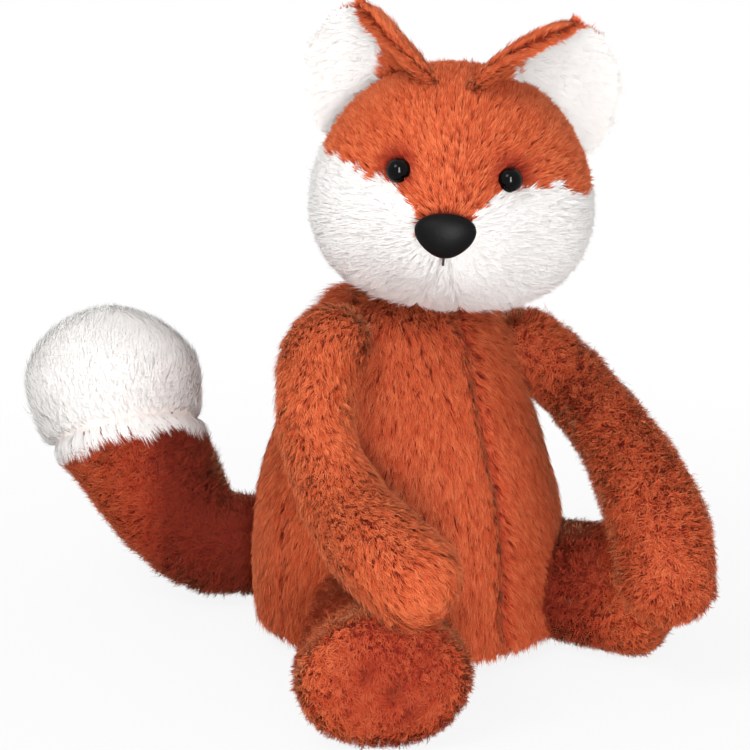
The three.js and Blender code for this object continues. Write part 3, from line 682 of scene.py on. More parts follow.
def plush_object(name, slot, cloth, blades):
    """One mesh of a cloth (points, faces, normals, places in the map) and the blades that stand on it."""
    cloth_points, squares, cloth_normals, cloth_places = cloth
    blade, blade_marks, out = blades
    base = len(cloth_points) + np.arange(len(blade))[:, None] * BLADE_POINTS
    four, three = np.concatenate([squares, base + [1, 0, 2, 3]]), base + [3, 2, 4]
    points = np.concatenate([cloth_points, blade.reshape(-1, 3)])
    marks = np.concatenate([np.tile(CLOTH_MARKS, (len(cloth_points), 1)), blade_marks.reshape(-1, 3)])
    blades_facing = blade_normals(blade, out, OWN_NORMAL[slot])
    normals = np.concatenate([cloth_normals, blades_facing.reshape(-1, 3)])
    places = np.concatenate([cloth_places, blade_map(len(blade))])
    corners = np.concatenate([four.ravel(), three.ravel()])
    starts = np.concatenate([np.arange(len(four)) * 4, len(four) * 4 + np.arange(len(three)) * 3])
    mesh = bpy.data.meshes.new(name)
    mesh.vertices.add(len(points))
    mesh.vertices.foreach_set("co", (points * METRES).astype(np.float32).ravel())
    mesh.loops.add(len(corners))
    mesh.loops.foreach_set("vertex_index", corners.astype(np.int32))
    mesh.polygons.add(len(starts))
    mesh.polygons.foreach_set("loop_start", starts.astype(np.int32))
    mesh.polygons.foreach_set("use_smooth", np.ones(len(starts), bool))
    mesh.update(calc_edges=True)
    layer = mesh.attributes.new(PILE_MARKS, "FLOAT_COLOR", "POINT")
    layer.data.foreach_set("color", np.c_[marks, np.ones(len(marks))].astype(np.float32).ravel())
    chart = mesh.uv_layers.new(name="OFBake")
    chart.data.foreach_set("uv", places[corners].astype(np.float32).ravel())
    mesh.normals_split_custom_set_from_vertices(unit(normals).astype(np.float32))
    made_pieces.append((name, len(blade)))
    return shown(name, mesh, PLUSH[slot])


def blade_map(count):
    """A cell of the baked map for each blade."""
    wide = math.sqrt((1 - CLOTH_STRIP) / CELL_TALL / max(count, 1))
    cols = max(int(1 / wide), 1)
    rows = math.ceil(count / cols)
    w, h = 1 / cols, (1 - CLOTH_STRIP) / max(rows, 1)
    i = np.arange(count)
    corner = np.stack([(i % cols) * w, CLOTH_STRIP + (i // cols) * h], axis=-1)
    inside = np.array([[0.2, 0.1], [0.8, 0.1], [0.2, 0.55], [0.8, 0.55], [0.5, 0.95]])
    return (corner[:, None] + inside[None] * [w, h]).reshape(-1, 2)


def blade_normals(blade, out, own_share):
    across = blade[:, 1] - blade[:, 0]
    rows = np.stack([blade[:, 2] - blade[:, 0], blade[:, 4] - blade[:, 2]], axis=1)
    own = unit(np.cross(across[:, None], rows))
    own = own * np.where((own * out[:, :1]).sum(-1, keepdims=True) < 0, -1, 1)
    each = own[:, [0, 0, 1, 1, 1]]
    return unit(each * own_share + out * (1 - own_share))


def grid_squares(rows, cols):
    """The corners' numbers of each square of a grid, and the grid of numbers itself."""
    index = np.arange((rows + 1) * (cols + 1)).reshape(rows + 1, cols + 1)
    return np.stack([index[:-1, :-1], index[:-1, 1:], index[1:, 1:], index[1:, :-1]], axis=-1), index


def cut_cloth(cloth_grid, cloth_facing, keep):
    """The part of a cloth whose squares are in keep."""
    rows, cols = keep.shape
    squares, index = grid_squares(rows, cols)
    squares = squares[keep]
    used = np.unique(squares)
    renumber = np.zeros(index.size, int)
    renumber[used] = np.arange(len(used))
    v, u = np.divmod(used, cols + 1)
    places = np.stack([u / cols, 0.005 + v / rows * (CLOTH_STRIP - 0.01)], axis=-1)
    return cloth_grid.reshape(-1, 3)[used], renumber[squares], cloth_facing.reshape(-1, 3)[used], places


def room_under(cloth, middle, facing, height):
    """How much of its height a fibre keeps before it meets a neighbour's cloth."""
    room = np.ones(len(middle))
    for other, other_depth in cloth.neighbours:
        here = other.outside(middle, -other_depth)[0]
        there = other.outside(middle + facing * height, -other_depth)[0]
        crossing = np.where(there < 0, here / np.maximum(here - there, 1e-6), 1.0)
        room = np.minimum(room, np.clip(crossing, 0.2, 1.0))
    return room


def grow_pile(draw, cloth, pile, mine, panel_of, nap_of, details):
    """Fibres of one kind of pile, on the panels numbered in `mine`."""
    u, v = spread_locks(draw, cloth.points, AREA_ROWS, AREA_COLS, pile.locks)
    plain = cloth.form.surface(u, v, 0.0)
    middle, facing = cloth.points(u, v), cloth.slopes(u, v)
    nap = flat_on(nap_of(middle, facing), facing)
    # Near a seam the fibres are shorter and get painted shade, for the shadow in the seam's groove; this also
    # darkens the chin's parting.
    near = np.exp(-((cloth.seam(plain) / SEAM_SHADE_WIDTH) ** 2))
    nap, size, lift, shade, group = details(plain, nap, 1 - 0.3 * near, np.ones(len(middle)), 0.2 * near,
                                            panel_of(plain))
    here = np.isin(group, mine)
    room = room_under(cloth, middle[here], facing[here], pile.height)
    blades = stand_fibres(draw, pile, middle[here], facing[here], flat_on(nap[here], facing[here]), room,
                          size[here], lift[here], shade[here])
    return blades, np.repeat(group[here], pile.fibres)


def plush(stem, pile, colour="rust"):
    """What dress has to know of a panel: its piece, its node, its slot and its pile."""
    return f"{stem}_plush", f"{stem}_panel", f"{colour}_plush", pile


def dress(seed, cloth, body_name, panels, panel_of, nap_of, details, steps, stretch=None):
    """Makes every panel of one form. panel_of gives a panel's number for points of the plain form.

    Given stretch, the pieces are put on no body and their places are baked in; the two points are not used.
    """
    draw = np.random.default_rng(seed)
    rows, cols = steps
    gu, gv = whole_grid(rows, cols)
    grid, grid_facing = cloth.points(gu, gv), cloth.slopes(gu, gv)
    middle_u, middle_v = (gu[:-1, :-1] + gu[1:, 1:]) / 2, (gv[:-1, :-1] + gv[1:, 1:]) / 2
    square_group = panel_of(cloth.form.surface(middle_u.ravel(), middle_v.ravel(), 0.0)).reshape(rows, cols)
    total = 0
    for pile in dict.fromkeys(panel[-1] for panel in panels):
        mine = [k for k, panel in enumerate(panels) if panel[-1] is pile]
        blades, group = grow_pile(draw, cloth, pile, mine, panel_of, nap_of, details)
        for number in mine:
            name, node, slot, _ = panels[number]
            made = plush_object(name, slot, cut_cloth(grid, grid_facing, square_group == number),
                                [rows_of[group == number] for rows_of in blades])
            if stretch is None:
                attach(made, body_name)
            else:
                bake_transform(made)
            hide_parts(node)
        total += len(group)
    print(body_name, "fibres:", total)


# %% [markdown]
# ## The body
#
# Four panels round a pear-shaped body meet in seams down the front, the back and the sides, with a round panel
# under the seat. The nap is combed down the chest, and the pile lies close there, with a parting along the
# front seam. Round the neck it stands up in shaggier locks.

# %% Body panels
PILE_DEPTH = 3.8
BODY_DEPTH, BODY_SEAM_DEPTH = 2.6, 2.2
BODY_SHADE = 0.24
SEAT_BELOW, NECK_FROM, NECK_OVER = 14, 98, 24
PARTING_WIDTH, PARTED_FRONT, PARTED_BACK = 5, 0.7, 0.4
CHEST_PILE = Pile(length=6.0, height=2.5, width=0.27, locks=0.62, fibres=8, spread=1.15,
                  gather=0.58, stray=0.2)
COMBED_PILE = Pile(length=5.2, height=2.5, width=0.26, locks=0.66, fibres=8, spread=1.1,
                   gather=0.5, stray=0.26)
UPRIGHT_PILE = Pile(length=4.8, height=3.6, width=0.26, locks=0.62, fibres=8, spread=1.1,
                    gather=0.6, stray=0.9)


def body_seams(points):
    return np.minimum(np.abs(points[:, 0]), np.abs(points[:, 1]))


def body_panel(points):
    under = (np.hypot(points[:, 0], points[:, 1]) < BASE_RADIUS) & (points[:, 2] < BASE_RISE)
    sides = np.where(points[:, 0] < 0, 0, 1) + np.where(points[:, 1] < 0, 0, 2)
    return np.where(under, 4, sides)


def body_nap(points, facing):
    low = np.clip(1 - points[:, 2:] / SEAT_BELOW, 0, 1)
    outward = unit(points * [1, 1, 0]) * (1 - 3 * low)
    swirl = np.stack([-outward[:, 1], outward[:, 0], 0 * outward[:, 0]], axis=-1)
    parted = np.sign(points[:, 0]) * np.exp(-((points[:, 0] / PARTING_WIDTH) ** 2))
    parted = parted * np.where(points[:, 1] < 0, PARTED_FRONT, PARTED_BACK)
    return outward * 0.3 + [0, 0, -1.0] + swirl * (0.35 * waves(points, 45, 3) + parted)[:, None]


def body_details(points, nap, size, lift, shade, group):
    neck = np.clip((points[:, 2] - NECK_FROM) / NECK_OVER, 0, 1)
    lift = lift * (1 + 0.6 * neck + 0.22 * waves(points, 34, 5))
    size = size * (1 + 0.25 * neck * (1 + waves(points, 8, 37)))
    # The body's pile gets painted shade all over and more along its seams, so the front seam's parting is painted
    # shadow as well as a groove and a parted nap.
    return nap, size, lift, shade * 2.4 + BODY_SHADE, group


body_panels = [plush(f"body_{face}_{side_name}", CHEST_PILE) for face in ("front", "back") for side_name in SIDES]
body_panels.append(("seat_base_plush", "base_panel", "rust_plush", CHEST_PILE))
body_cloth = Cloth(body, BODY_DEPTH, seam=body_seams, seam_depth=BODY_SEAM_DEPTH)
dress(11, body_cloth, "torso", body_panels, body_panel, body_nap, body_details, steps=(60, 72))

# %% [markdown]
# ## Arms, legs and tail
#
# On the left arm, the legs and the tail the pile stands more upright, so that it looks deeper red where one sees
# down into it and pale at the outline, where the tips show from the side. The deeper red is also painted into
# their colour as painted shade, which is lighter at a sole's rim and strongest on the far leg, where the arm and
# body cast their shadow. The right arm is combed like the chest. Next to the white tip the tail's rust pile is
# shorter, and the nap is turned back on both sides, so that the edge between the colours stays clear.

# %% Limb panels


def plane_of(point, normal):
    normal = normal / np.linalg.norm(normal)
    return lambda points: (points - point) @ normal


def limb_nap(form, droop):
    def nap(points, facing):
        slope = form.nap(points)
        return slope + [0, 0, -droop] + 0.3 * np.cross(facing, slope) * waves(points, 26, 7)[:, None]
    return nap


def arm_details(shade_level):
    def details(points, nap, size, lift, shade, group):
        shoulder = np.clip((points[:, 2] - SHOULDER_FROM) / SHOULDER_OVER, 0, 1)
        size = size * (1 + 0.08 * shoulder * (1 + waves(points, 8, 37)))
        lift = lift * (1 + 0.2 * waves(points, 24, 9) + 0.15 * shoulder)
        return nap, size, lift, shade * 0.6 + shade_level, group
    return details


ARM_PILES = {"right": COMBED_PILE, "left": UPRIGHT_PILE}
# Painted shade on the arms' pile; the left arm, the far one, gets more.
ARM_SHADE = {"right": 0.0, "left": 0.25}
ARM_DEPTH = {"right": 3.4, "left": 3.6}
SHOULDER_FROM, SHOULDER_OVER = 96, 24
ARM_DROOP, LEG_DROOP, TAIL_DROOP = 0.25, 0.35, 0.1


for seed, (side_name, side) in enumerate(SIDES.items()):
    arm = arms[side_name]
    shoulder, elbow, paw = (arm.centre(np.array([arm.length * t]))[0][0] for t in (0, 0.5, 1))
    outward = np.cross(elbow - shoulder, paw - shoulder)
    outward *= np.sign(outward[0]) * side
    split = plane_of(elbow, outward)
    cloth = Cloth(arm, ARM_DEPTH[side_name], [(body, PILE_DEPTH), (legs[side_name], PILE_DEPTH)],
                  seam=lambda p, split=split: np.abs(split(p)))
    panels = [plush(f"{side_name}_arm_{face}", ARM_PILES[side_name]) for face in ("outer", "inner")]
    dress(21 + seed, cloth, f"{side_name}_arm", panels, lambda p, split=split: np.where(split(p) > 0, 0, 1),
          limb_nap(arm, ARM_DROOP), arm_details(ARM_SHADE[side_name]), steps=(52, 40))

# %% Leg panels


def leg_panel(toe, ahead):
    def panel(points):
        sole = (points - toe) @ ahead > -SOLE_DEPTH
        return np.where(sole, 2, np.where(points[:, 2] > LEG_RADIUS, 0, 1))
    return panel


def leg_seam(toe, ahead):
    def seam(points):
        return np.where((points - toe) @ ahead > -SOLE_DEPTH - 2, 99.0, np.abs(points[:, 2] - LEG_RADIUS))
    return seam


# Painted shade on the legs' pile: the left leg, the far one, is darker, for the shadow of the arm and body it lies
# in.
LEG_SHADE = {"right": 0.5, "left": 1.0}
LEG_STRETCH = 0.12, 0.62
SOLE_EDGE, SOLE_ASIDE, SOLE_MIDDLE, RIM_WIDTH = 4.0, 5.0, 1.4, 6.0
PALER_TO_HIP, PALER_TO_RIM, SOLE_SHADE, MIDDLE_SHADE = 0.4, 0.7, 0.15, 0.55
LEVEL_RIGHT = np.array([math.cos(CAMERA_AZIMUTH), math.sin(CAMERA_AZIMUTH), 0.0])
LEVEL_NEAR = np.array([LEVEL_RIGHT[1], -LEVEL_RIGHT[0], 0.0])


def foot_details(toe, ahead, shade_level):
    def details(points, nap, size, lift, shade, group):
        past_edge = (points - toe) @ ahead + SOLE_DEPTH
        sole = np.clip(past_edge / SOLE_EDGE, 0, 1)
        lift = lift * (1 + 0.2 * waves(points, 24, 9))
        from_middle = lengths(points - toe - SOLE_ASIDE * LEVEL_RIGHT)[:, 0] / (LEG_RADIUS * SOLE_MIDDLE)
        middle = np.clip(1 - from_middle**2, 0, 1) * sole
        from_hip = np.clip(1 - (toe - points) @ ahead / LEG_LENGTH, 0, 1)
        rim = np.exp(-((past_edge / RIM_WIDTH) ** 2))
        # Painted shade: darker toward the hip, lighter at the sole's rim, and darker in the sole's middle, set off
        # toward the camera's right, with a random mottle on the sole.
        sides = shade_level * (1 - PALER_TO_HIP * from_hip) * (1 - PALER_TO_RIM * rim)
        shade = sides * (1 - sole) + (SOLE_SHADE + MIDDLE_SHADE * middle) * sole
        shade = shade + 0.1 * sole * waves(points, 9, 41)
        return nap, size * (1 - 0.12 * sole), lift, shade, group
    return details


for seed, side_name in enumerate(SIDES):
    leg = legs[side_name]
    toe, ahead = (rows[0] for rows in leg.centre(np.array([leg.length])))
    ahead = ahead * [1, 1, 0]
    ahead /= np.linalg.norm(ahead)
    cloth = Cloth(leg, PILE_DEPTH, [(body, PILE_DEPTH)], seam=leg_seam(toe, ahead))
    panels = [plush(f"{side_name}_{part}", UPRIGHT_PILE) for part in ("leg_upper", "leg_under", "sole")]
    stretch = [leg.centre(np.array([leg.length * share]))[0][0] * METRES for share in LEG_STRETCH]
    dress(31 + seed, cloth, f"{side_name}_leg", panels, leg_panel(toe, ahead), limb_nap(leg, LEG_DROOP),
          foot_details(toe, ahead, LEG_SHADE[side_name]), steps=(44, 48), stretch=stretch)

# %% Tail panels
TAIL_PILE = Pile(length=5.6, height=3.9, width=0.27, locks=0.6, fibres=8, spread=1.1,
                 gather=0.66, stray=0.8)
TIP_PILE = Pile(length=6.6, height=3.2, width=0.27, locks=0.8, fibres=7, spread=1.0,
                gather=0.25, stray=0.16, uneven=0.08)
EDGE_ACROSS, EDGE_ARCH, EDGE_DOWN, EDGE_RAGGED, EDGE_WIDTH = 0.22, 0.3, 2.6, 1.4, 4.5
TURNED_BACK, LONGER_WHITE, SHORTER_RUST, LOWER_RUST = 1.9, 0.15, -0.45, 0.6
border, border_ahead = (rows[0] for rows in tail.centre(np.array([tail.length - TAIL_TIP])))
tail_tip_end = tail.centre(np.array([tail.length]))[0][0]
behind = np.cross(border - tail_root, tail_tip_end - border)
behind *= np.sign(behind[1])
tail_split = plane_of(border, behind)
tail_border = plane_of(border, border_ahead)


def tail_edge(points):
    """How far past the edge of the white tip points are. It arches up on the side that faces forward."""
    from_border = points - border
    return (tail_border(points) + EDGE_ACROSS * from_border @ LEVEL_RIGHT - EDGE_ARCH * from_border @ LEVEL_NEAR
            - EDGE_DOWN)


def tail_panel(points):
    ragged = tail_edge(points) + EDGE_RAGGED * waves(points, 9, 13)
    return np.where(ragged > 0, 2, 0) + np.where(tail_split(points) > 0, 1, 0)


def tail_details(points, nap, size, lift, shade, group):
    pale = group >= 2
    near = np.exp(-((tail_edge(points) / EDGE_WIDTH) ** 2))
    nap = nap - TURNED_BACK * nap * near[:, None]
    size = size * (1 + np.where(pale, LONGER_WHITE, SHORTER_RUST) * near)
    lift = lift * (1 - LOWER_RUST * near * ~pale)
    # The rust pile gets painted shade, darker toward the camera's right, on the side by the body where shade
    # falls; the white tip gets none.
    inner = np.clip(0.5 + (points - border) @ LEVEL_RIGHT / 30, 0, 1)
    shade = (shade * 0.3 + 0.42 + 0.4 * inner) * ~pale
    return nap, size, lift * (1 + np.where(pale, 0.06, 0.2) * waves(points, 24, 9)), shade, group


tail_cloth = Cloth(tail, PILE_DEPTH, [(body, PILE_DEPTH)], seam=lambda p: np.abs(tail_split(p)))
tail_panels = [plush("tail_front", TAIL_PILE), plush("tail_back", TAIL_PILE),
               plush("tail_tip_front", TIP_PILE, "white"), plush("tail_tip_back", TIP_PILE, "white")]
dress(41, tail_cloth, "tail", tail_panels, tail_panel, limb_nap(tail, TAIL_DROOP), tail_details, steps=(60, 48))

# %% [markdown]
# ## The head
#
# A rust forehead comes down between two white cheeks to the nose. The pile is combed away from the nose: up
# over the forehead, out over the cheeks and down the chin, where it parts in the middle.

# %% Head panels
MASK_BACK = 8.0
NOSE_PLACE = np.array([0.0, -55.0, -9.0])
EYE_OUT, EYE_UP = 20.0, 11.0
FACE_PILE = Pile(length=4.4, height=2.5, width=0.29, locks=0.8, fibres=7, spread=0.9,
                 gather=0.35, stray=0.2)
CHEEK_PILE = Pile(length=5.2, height=2.9, width=0.25, locks=0.95, fibres=7, spread=0.85,
                  gather=0.22, stray=0.16, uneven=0.08)
MASK_EDGE_OUT = [0, 8.5, 9.6, 12, 15.5, 19, 22, 30, 36, 41, 60]
MASK_EDGE_UP = [-12.0, -9.0, -3.0, -0.4, 1.6, 4.8, 6.2, 6.2, 8.0, 9.6, 10.5]
NOSE_ASIDE = -1.2
FORK_SPREAD = 0.34
MASK_ASIDE = -2.9
FOREHEAD_SHADE = 0.08
LEFT_DROP_FROM, LEFT_DROP = 38.0, 0.9
MOUTH, CHIN = -18, -37
EYE_BARE, NOSE_BARE, NO_PILE = 4.1, 6.5, 0.05
EYE_RING, RING_WIDTH, SOCKET_SHADE, SOCKET_WIDTH = 5.0, 1.3, 0.95, 7.6
NOT_HERE = 99


def mask_height(local):
    aside = MASK_ASIDE * np.clip(1.5 - np.abs(local[:, 0]) / 20, 0, 1)
    edge = np.interp(np.abs(local[:, 0] - aside), MASK_EDGE_OUT, MASK_EDGE_UP)
    return local[:, 2] - edge + LEFT_DROP * np.clip(local[:, 0] - LEFT_DROP_FROM, 0, 9)


def head_panel(points, ragged=0.0):
    local = to_head(points)
    over = mask_height(local) + ragged
    side = np.where(local[:, 0] < 0, 0, 1)
    return np.where(local[:, 1] > MASK_BACK + ragged, 3 + side, np.where(over > 0, 0, 1 + side))


def head_seams(points):
    local = to_head(points)
    face = local[:, 1] < MASK_BACK
    side = np.abs(local[:, 1] - MASK_BACK)
    below = MOUTH - local[:, 2]
    cleft = face & (below > 0) & (below < MOUTH - CHIN)
    fork = np.abs(np.abs(local[:, 0] - NOSE_ASIDE) - FORK_SPREAD * below) + 0.12 * below
    return np.minimum(side, np.where(face, np.where(cleft, fork, NOT_HERE), np.abs(local[:, 0])))


def head_nap(points, facing):
    local = to_head(points)
    from_nose = unit(local - NOSE_PLACE)
    between_lines = np.abs(local[:, 0] - NOSE_ASIDE) < FORK_SPREAD * (MOUTH - local[:, 2])
    parted = np.where(between_lines, -0.6, 0.5) * np.clip((-14 - local[:, 2]) / 10, 0, 1)
    from_nose[:, 0] += parted * np.sign(local[:, 0] - NOSE_ASIDE) * (local[:, 1] < 0)
    back = np.clip((local[:, 1] + 10) / 40, 0, 1)[:, None]
    way = from_nose * (1 - 0.8 * back) + np.array([0, 0.1, -0.8]) * back
    return way @ HEAD_AXES.T + 0.2 * np.cross(facing, way @ HEAD_AXES.T) * waves(points, 22, 17)[:, None]


def head_details(points, nap, size, lift, shade, group):
    local = to_head(points)
    group = head_panel(points, 1.3 * waves(points, 6, 19))
    for side in (-1, 1):
        apart = np.hypot(local[:, 0] - side * EYE_OUT, local[:, 2] - EYE_UP)
        apart = np.where(local[:, 1] < -15, apart, NOT_HERE)
        ring = np.exp(-(((apart - EYE_RING) / RING_WIDTH) ** 2))
        lift = lift * (1 - 0.3 * np.exp(-((apart / 9) ** 4)) + 0.55 * ring)
        # A painted shadow round each eye, for the shade where it sits sunk in the pile.
        shade = np.maximum(shade, SOCKET_SHADE * np.exp(-((apart / SOCKET_WIDTH) ** 3)))
        size = np.where(apart < EYE_BARE, NO_PILE, size * (1 + 0.15 * ring))
    nose = np.hypot(local[:, 0] / 1.4, local[:, 2] - NOSE_PLACE[2])
    nose = np.where(local[:, 1] < -30, nose, NOT_HERE)
    size = np.where(nose < NOSE_BARE, NO_PILE, size * (1 - 0.45 * np.exp(-((nose / 9.5) ** 4))))
    pale = (group == 1) | (group == 2)
    fringe = np.clip((-26 - local[:, 2]) / 12, 0, 1)
    size = size * np.where(pale, 1 + 0.16 * fringe * (1 + waves(points, 7, 31)), 1)
    # The white cheeks keep half of the painted shade; the rust gets a little painted shade all over.
    shade = np.where(pale, shade * 0.5, np.maximum(shade, FOREHEAD_SHADE))
    return nap, size, lift, shade, group


head_cloth = Cloth(head, PILE_DEPTH, [(body, PILE_DEPTH)], seam=head_seams)
head_panels = [plush("forehead", FACE_PILE), plush("right_cheek", CHEEK_PILE, "white"),
               plush("left_cheek", CHEEK_PILE, "white"), plush("head_back_right", FACE_PILE),
               plush("head_back_left", FACE_PILE)]
dress(51, head_cloth, "head", head_panels, head_panel, head_nap, head_details, steps=(64, 80))

# %% [markdown]
# ## Ears
#
# Each ear is two curved panels back to back, white inside and rust outside, cupped round an upright line. The
# panels are thin, so they are made as sheets of their own: a front, a back and an edge, trimmed where they enter
# the head. The rust comes round the inner rim onto the white face. The inner rims stand further in than those of
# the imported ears, by up to 14 mm on the left, because the photograph shows them there.

# %% Ear panels
EAR_HEIGHT, EAR_WIDTH = 45.0, 47.0
EAR_SHARES = [0.84, 0.96, 1.02, 1.0, 0.9, 0.68, 0.28]
EAR_CURL = math.radians(68)
EAR_LEAN, EAR_BACK, EAR_OUT = (math.radians(a) for a in (23, -6, 46))
EAR_BASE = np.array([22.0, 4.0, 19.5])
EAR_FOOT = -1.5
EAR_PILE = Pile(length=4.8, height=2.1, width=0.27, locks=0.9, fibres=7, spread=0.9,
                gather=0.3, stray=0.2)
EAR_RIM = 0.2
EAR_LAID_BACK, EAR_TIP_OUT = 20.0, 14.0
EAR_FULLER = {-1: 5.0, 1: 8.0}
EAR_BOWED = {-1: 0.0, 1: 8.0}
RUST_REACH = {-1: 0.45, 1: 0.22}


class Ear:
    """A cupped sheet. u runs across it and v up it, from where it leaves the head."""

    def __init__(self, side):
        self.side = side
        self.axes = turned(side * EAR_LEAN, 1) @ turned(EAR_BACK, 0) @ turned(side * EAR_OUT, 2)
        self.base = EAR_BASE * [side, 1, 1]
        across = np.linspace(0, 1, 41)
        up = np.linspace(0, 1, 61)
        spots = self.sheet(np.repeat(across, 61), np.tile(up, 41), 3.0)
        inside = head.outside(spots)[0].reshape(41, 61) < EAR_FOOT
        self.foot_marks = across
        self.foot = np.array([up[np.nonzero(row)[0].max()] if row.any() else 0.0 for row in inside])

    def sheet(self, u, up, offset):
        bend = EAR_WIDTH / 2 * smooth_shares(EAR_SHARES, up) / math.sin(EAR_CURL)
        angle = EAR_CURL * (2 * u - 1)
        out = bend + offset
        outer = u if self.side > 0 else 1 - u
        laid_back = EAR_LAID_BACK * np.clip(1 - up / 0.7, 0, 1) ** 1.5 * np.clip(1 - outer / 0.5, 0, 1) ** 1.5
        fuller = EAR_FULLER[self.side] * np.cos(np.pi / 2 * np.clip(up / 0.9, 0, 1))
        fuller = fuller + EAR_BOWED[self.side] * np.sin(np.pi * up)
        fuller = fuller * np.clip(1 - outer / 0.6, 0, 1)
        aside = (EAR_TIP_OUT * np.clip(up / 0.95 - 0.5, 0, 1) ** 1.5 - fuller) * self.side
        local = np.stack([out * np.sin(angle) + aside, out * np.cos(angle) - bend + laid_back, EAR_HEIGHT * up],
                         axis=-1)
        return from_head(local @ self.axes.T + self.base)

    def surface(self, u, v, offset):
        foot = np.interp(u, self.foot_marks, self.foot)
        return self.sheet(u, foot + (1 - foot) * v, offset)


EAR_ROWS, EAR_COLS = 26, 24
FRONT_SKIN, BACK_SKIN = (1.9, 3.0), (4.4, 3.2)
BACK_REACH = 0.955
RIM_LOCKS, RIM_TOP = 520, 0.3


def rust_reach(side):
    """How far the rust cloth comes round the inner rim onto the white face, as a share of the ear's width."""
    return lambda v: 0.1 + RUST_REACH[side] * (1 - v)


def ear_frame(ear, u, v, offset):
    step = 4e-3
    across = ear.surface(np.clip(u + step, 0, 1), v, offset) - ear.surface(np.clip(u - step, 0, 1), v, offset)
    along = ear.surface(u, np.clip(v + step, 0, 1), offset) - ear.surface(u, np.clip(v - step, 0, 1), offset)
    return unit(np.cross(along, across)), unit(along), unit(across)


def ear_sheet(ear, side, span, skin, outward):
    """A closed thin panel: points, faces, normals and places in the baked map."""
    share, v = (rows.ravel() for rows in whole_grid(EAR_ROWS, EAR_COLS))
    low, high = (edge(v) if callable(edge) else edge for edge in span)
    u = low + (high - low) * share
    u = u if side > 0 else 1 - u
    near, far = ear.surface(u, v, skin[0]), ear.surface(u, v, skin[1])
    front, index = grid_squares(EAR_ROWS, EAR_COLS)
    front = front.reshape(-1, 4)
    loop = np.concatenate([index[0, :-1], index[:-1, -1], index[-1, :0:-1], index[:0:-1, 0]])
    after = np.roll(loop, -1)
    edge = np.stack([after, loop, loop + index.size, after + index.size], axis=-1)
    four = np.concatenate([front, front[:, ::-1] + index.size, edge])
    if outward * side > 0:
        four = four[:, ::-1]
    facing = ear_frame(ear, u, v, skin[0])[0] * outward
    places = np.stack([np.tile(share, 2), np.concatenate([v * 0.07, 0.08 + v * 0.07])], axis=-1)
    return np.concatenate([near, far]), four, np.concatenate([facing, -facing]), places


def face_places(draw, ear, offset):
    """Places for locks, even over one face of the ear."""
    return spread_locks(draw, lambda u, v: ear.surface(u.ravel(), v.ravel(), offset).reshape(*u.shape, 3),
                        EAR_ROWS, EAR_COLS, EAR_PILE.locks)


def rim_places(draw):
    """Places for locks along the edge between the two faces, up one side, over the top and down the other."""
    path = draw.random(int(RIM_LOCKS * LOCK_SHARE)) * (2 + RIM_TOP)
    u = np.clip(path - 1, 0, RIM_TOP) / RIM_TOP
    v = np.where(path < 1, path, np.where(path < 1 + RIM_TOP, 1.0, 2 + RIM_TOP - path))
    return u, np.clip(v, 0, 1)


def ear_locks(draw, ear, side, u, v, offset, kind):
    """Fibres of one area of the ear, and which of them are rust."""
    middle = ear.surface(u, v, offset)
    out, along, across = ear_frame(ear, u, v, np.mean(offset))
    outer = u if side > 0 else 1 - u
    to_side = across * side
    rim = np.clip((np.abs(2 * u - 1) - 1) / EAR_RIM + 1, 0, 1)
    top = np.clip((v - 1) / EAR_RIM + 1, 0, 1)
    rim_way = to_side * np.sign(outer - 0.5)[:, None]
    ragged = 0.05 * waves(middle, 6, 29)
    if kind == "rim":
        facing = np.where(v[:, None] > 0.999, along, rim_way)
        nap = along + 0.2 * rim_way
        is_rust = outer < 0.5 + 6 * ragged
    else:
        facing = out * (-1 if kind == "front" else 1)
        is_rust = outer < (rust_reach(side)(v) + ragged if kind == "front" else 0.93)
        sideways = np.where(is_rust, 0.3, 1.2)[:, None] if kind == "front" else 0.0
        nap = along * np.where(is_rust, 1.0, 0.35)[:, None] + to_side * sideways
        nap = nap + rim_way * (0.5 * rim * (outer > 0.5))[:, None]
        facing = unit(facing + 0.8 * rim_way * rim[:, None] ** 3 + 0.8 * along * top[:, None] ** 2)
    trim = np.where(outer > 0.5, 1 - (0.75 if kind == "back" else 0.5) * rim, 1 - 0.15 * rim) * (1 - 0.3 * top)
    ones = np.ones(len(u))
    lift = ones * (0.75 if kind == "rim" else 1.0) + 0.12 * waves(middle, 12, 23)
    keep = is_rust | (outer > 0.5) if kind == "rim" else is_rust | (kind == "front")
    if kind == "rim":
        facing = unit(facing - 0.7 * out)
    chosen = (middle, facing, flat_on(nap, facing), ones, trim, lift, ones * 0)
    blades = stand_fibres(draw, EAR_PILE, *(rows[keep] for rows in chosen))
    return blades, np.repeat(is_rust[keep], EAR_PILE.fibres)


def ear_piece(side_name, face, sheets, blades, slot):
    firsts = np.cumsum([0] + [len(sheet[0]) for sheet in sheets])
    points, normals, places = (np.concatenate([sheet[k] for sheet in sheets]) for k in (0, 2, 3))
    four = np.concatenate([sheet[1] + first for sheet, first in zip(sheets, firsts)])
    made = plush_object(f"{side_name}_ear_{face}_plush", slot, (points, four, normals, places), blades)
    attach(made, f"{side_name}_ear")
    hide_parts(f"{side_name}_ear_{face}_panel")


